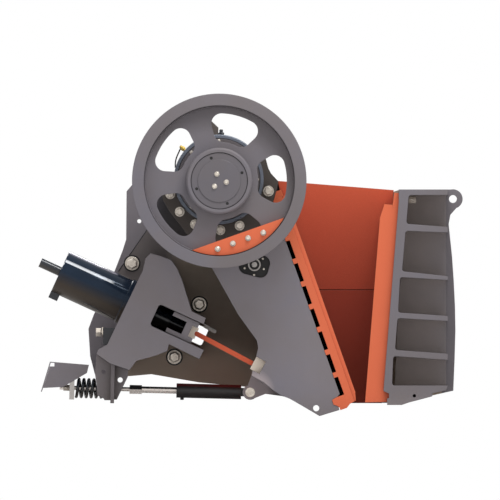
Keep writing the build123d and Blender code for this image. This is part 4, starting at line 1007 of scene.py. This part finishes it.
def coilTree():
    bench, ask = emptyTree("helicalSpring", [
        ("Turns", "Float"), ("Wire Radius", "Float"), ("Coil Radius", "Float"), ("Length", "Float"),
        ("Start", "Vector"), ("Along", "Vector"), ("Finish", "Material")])
    line = bench.make("GeometryNodeCurveSpiral", inputs={
        "Resolution": coil["stepsPerTurn"], "Rotations": ask["Turns"], "Start Radius": ask["Coil Radius"],
        "End Radius": ask["Coil Radius"], "Height": ask["Length"]})
    section = bench.make("GeometryNodeCurvePrimitiveCircle", inputs={"Resolution": coil["wireSides"],
                                                                     "Radius": ask["Wire Radius"]})
    wire = bench.make("GeometryNodeCurveToMesh", inputs={"Curve": line, "Profile Curve": section,
                                                         "Fill Caps": True})
    smooth = bench.make("GeometryNodeSetShadeSmooth", inputs={"Geometry": wire})
    turned = bench.make("FunctionNodeAlignRotationToVector", {"axis": "Z"}, {"Vector": ask["Along"]})
    seated = bench.make("GeometryNodeTransform", inputs={"Geometry": smooth, "Translation": ask["Start"],
                                                         "Rotation": turned})
    return finishedTree(bench, seated, ask["Finish"])


springLow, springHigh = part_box("tension_spring")
rodWay = Vector(machine["tensionWay"])
rodFoot = Vector((machine["tensionPin"][0], 0.0, machine["tensionPin"][1]))
springStart = (springHigh[0] - rodFoot.x) / rodWay.x + coil["wire"] * coil["endGap"]
springLength = (springLow[0] - rodFoot.x) / rodWay.x - coil["wire"] * coil["endGap"] - springStart
springPiece = grown("tensionSpring", [((0.0, 0.0, 0.0), (0.0, 0.0, 1.0), (1.0, 1.0, 1.0))], coilTree(),
                    {"Turns": coil["turns"], "Wire Radius": coil["wire"],
                     "Coil Radius": coil["outer"] - coil["wire"], "Length": springLength,
                     "Start": tuple(rodFoot + rodWay * springStart), "Along": tuple(rodWay),
                     "Finish": finishes["black"]})
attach(springPiece, "tension_rod")
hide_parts("tension_spring")
print("spring wound")

# camera square to the side view, level with the middle of the photograph
view = {"middle": (-1.3655, 1.4648), "across": 4.725, "away": 14.0}
cameraData = bpy.data.cameras.new("sideCamera")
cameraData.type = "ORTHO"
cameraData.ortho_scale = view["across"]
cameraData.clip_end = 200.0
sideCamera = placed("sideCamera", cameraData)
sideCamera.location = (view["middle"][0], -view["away"], view["middle"][1])
sideCamera.rotation_euler = (math.radians(90), 0.0, 0.0)
bpy.context.scene.camera = sideCamera

studio = {
    "worldStrength": 0.72,
    "floorHeight": -0.115,
    "floorReach": 40.0,
    "floorColour": (0.86, 0.86, 0.86, 1.0),
    "lamps": [
        # name, place, aimed at, line of its long side, size, power
        ("keySoft", (0.25, -3.75, 7.55), (-2.75, -0.2, 1.0), machine["settingWay"], (3.6, 3.4), 270.0),
        ("keySmall", (-0.05, -3.85, 7.85), (-2.95, -0.2, 1.1), machine["settingWay"], (2.8, 0.42), 95.0),
        ("rimStrip", (-2.6, 5.2, 4.4), (-2.2, 0.0, 1.4), (1.0, 0.0, 0.0), (6.0, 1.2), 160.0),
    ],
}


def lamp(name, place, target, along, size, power):
    data = bpy.data.lights.new(name, "AREA")
    data.shape = "RECTANGLE"
    data.size, data.size_y = size
    data.energy = power
    back = (Vector(place) - Vector(target)).normalized()
    side = (Vector(along) - back * back.dot(Vector(along))).normalized()
    turn = Matrix((side, back.cross(side), back)).transposed()
    placed(name, data).matrix_world = Matrix.Translation(place) @ turn.to_4x4()


for settings in studio["lamps"]:
    lamp(*settings)

world = bpy.data.worlds.new("studioWorld")
bpy.context.scene.world = world
world.use_nodes = True
world.node_tree.nodes.clear()
air = Bench(world.node_tree)
rays = ["Is Camera Ray", "Is Glossy Ray", "Is Transmission Ray"]
cameraRay, glossyRay, throughRay = [air.make("ShaderNodeLightPath", output=label) for label in rays]
seen = (cameraRay + glossyRay + throughRay).clamped()
strength = seen * (1.0 - studio["worldStrength"]) + studio["worldStrength"]
background = air.make("ShaderNodeBackground", inputs={"Color": (1.0, 1.0, 1.0, 1.0), "Strength": strength})
air.make("ShaderNodeOutputWorld", inputs={"Surface": background}, output=None)

floorMesh = bpy.data.meshes.new("studioFloor")
floorCorners = [(studio["floorReach"] * x, studio["floorReach"] * y, studio["floorHeight"])
                for x, y in ((-1, -1), (1, -1), (1, 1), (-1, 1))]
floorMesh.from_pydata(floorCorners, [], [(0, 1, 2, 3)])
studioFloor = placed("studioFloor", floorMesh)
floorFinish = Finish("studioFloor")
floorMesh.materials.append(floorFinish.closed(floorFinish.shader({
    "Base Color": studio["floorColour"], "Roughness": 0.9})))
bpy.context.scene.view_settings.view_transform = "Standard"
print("camera, lamps and floor placed")
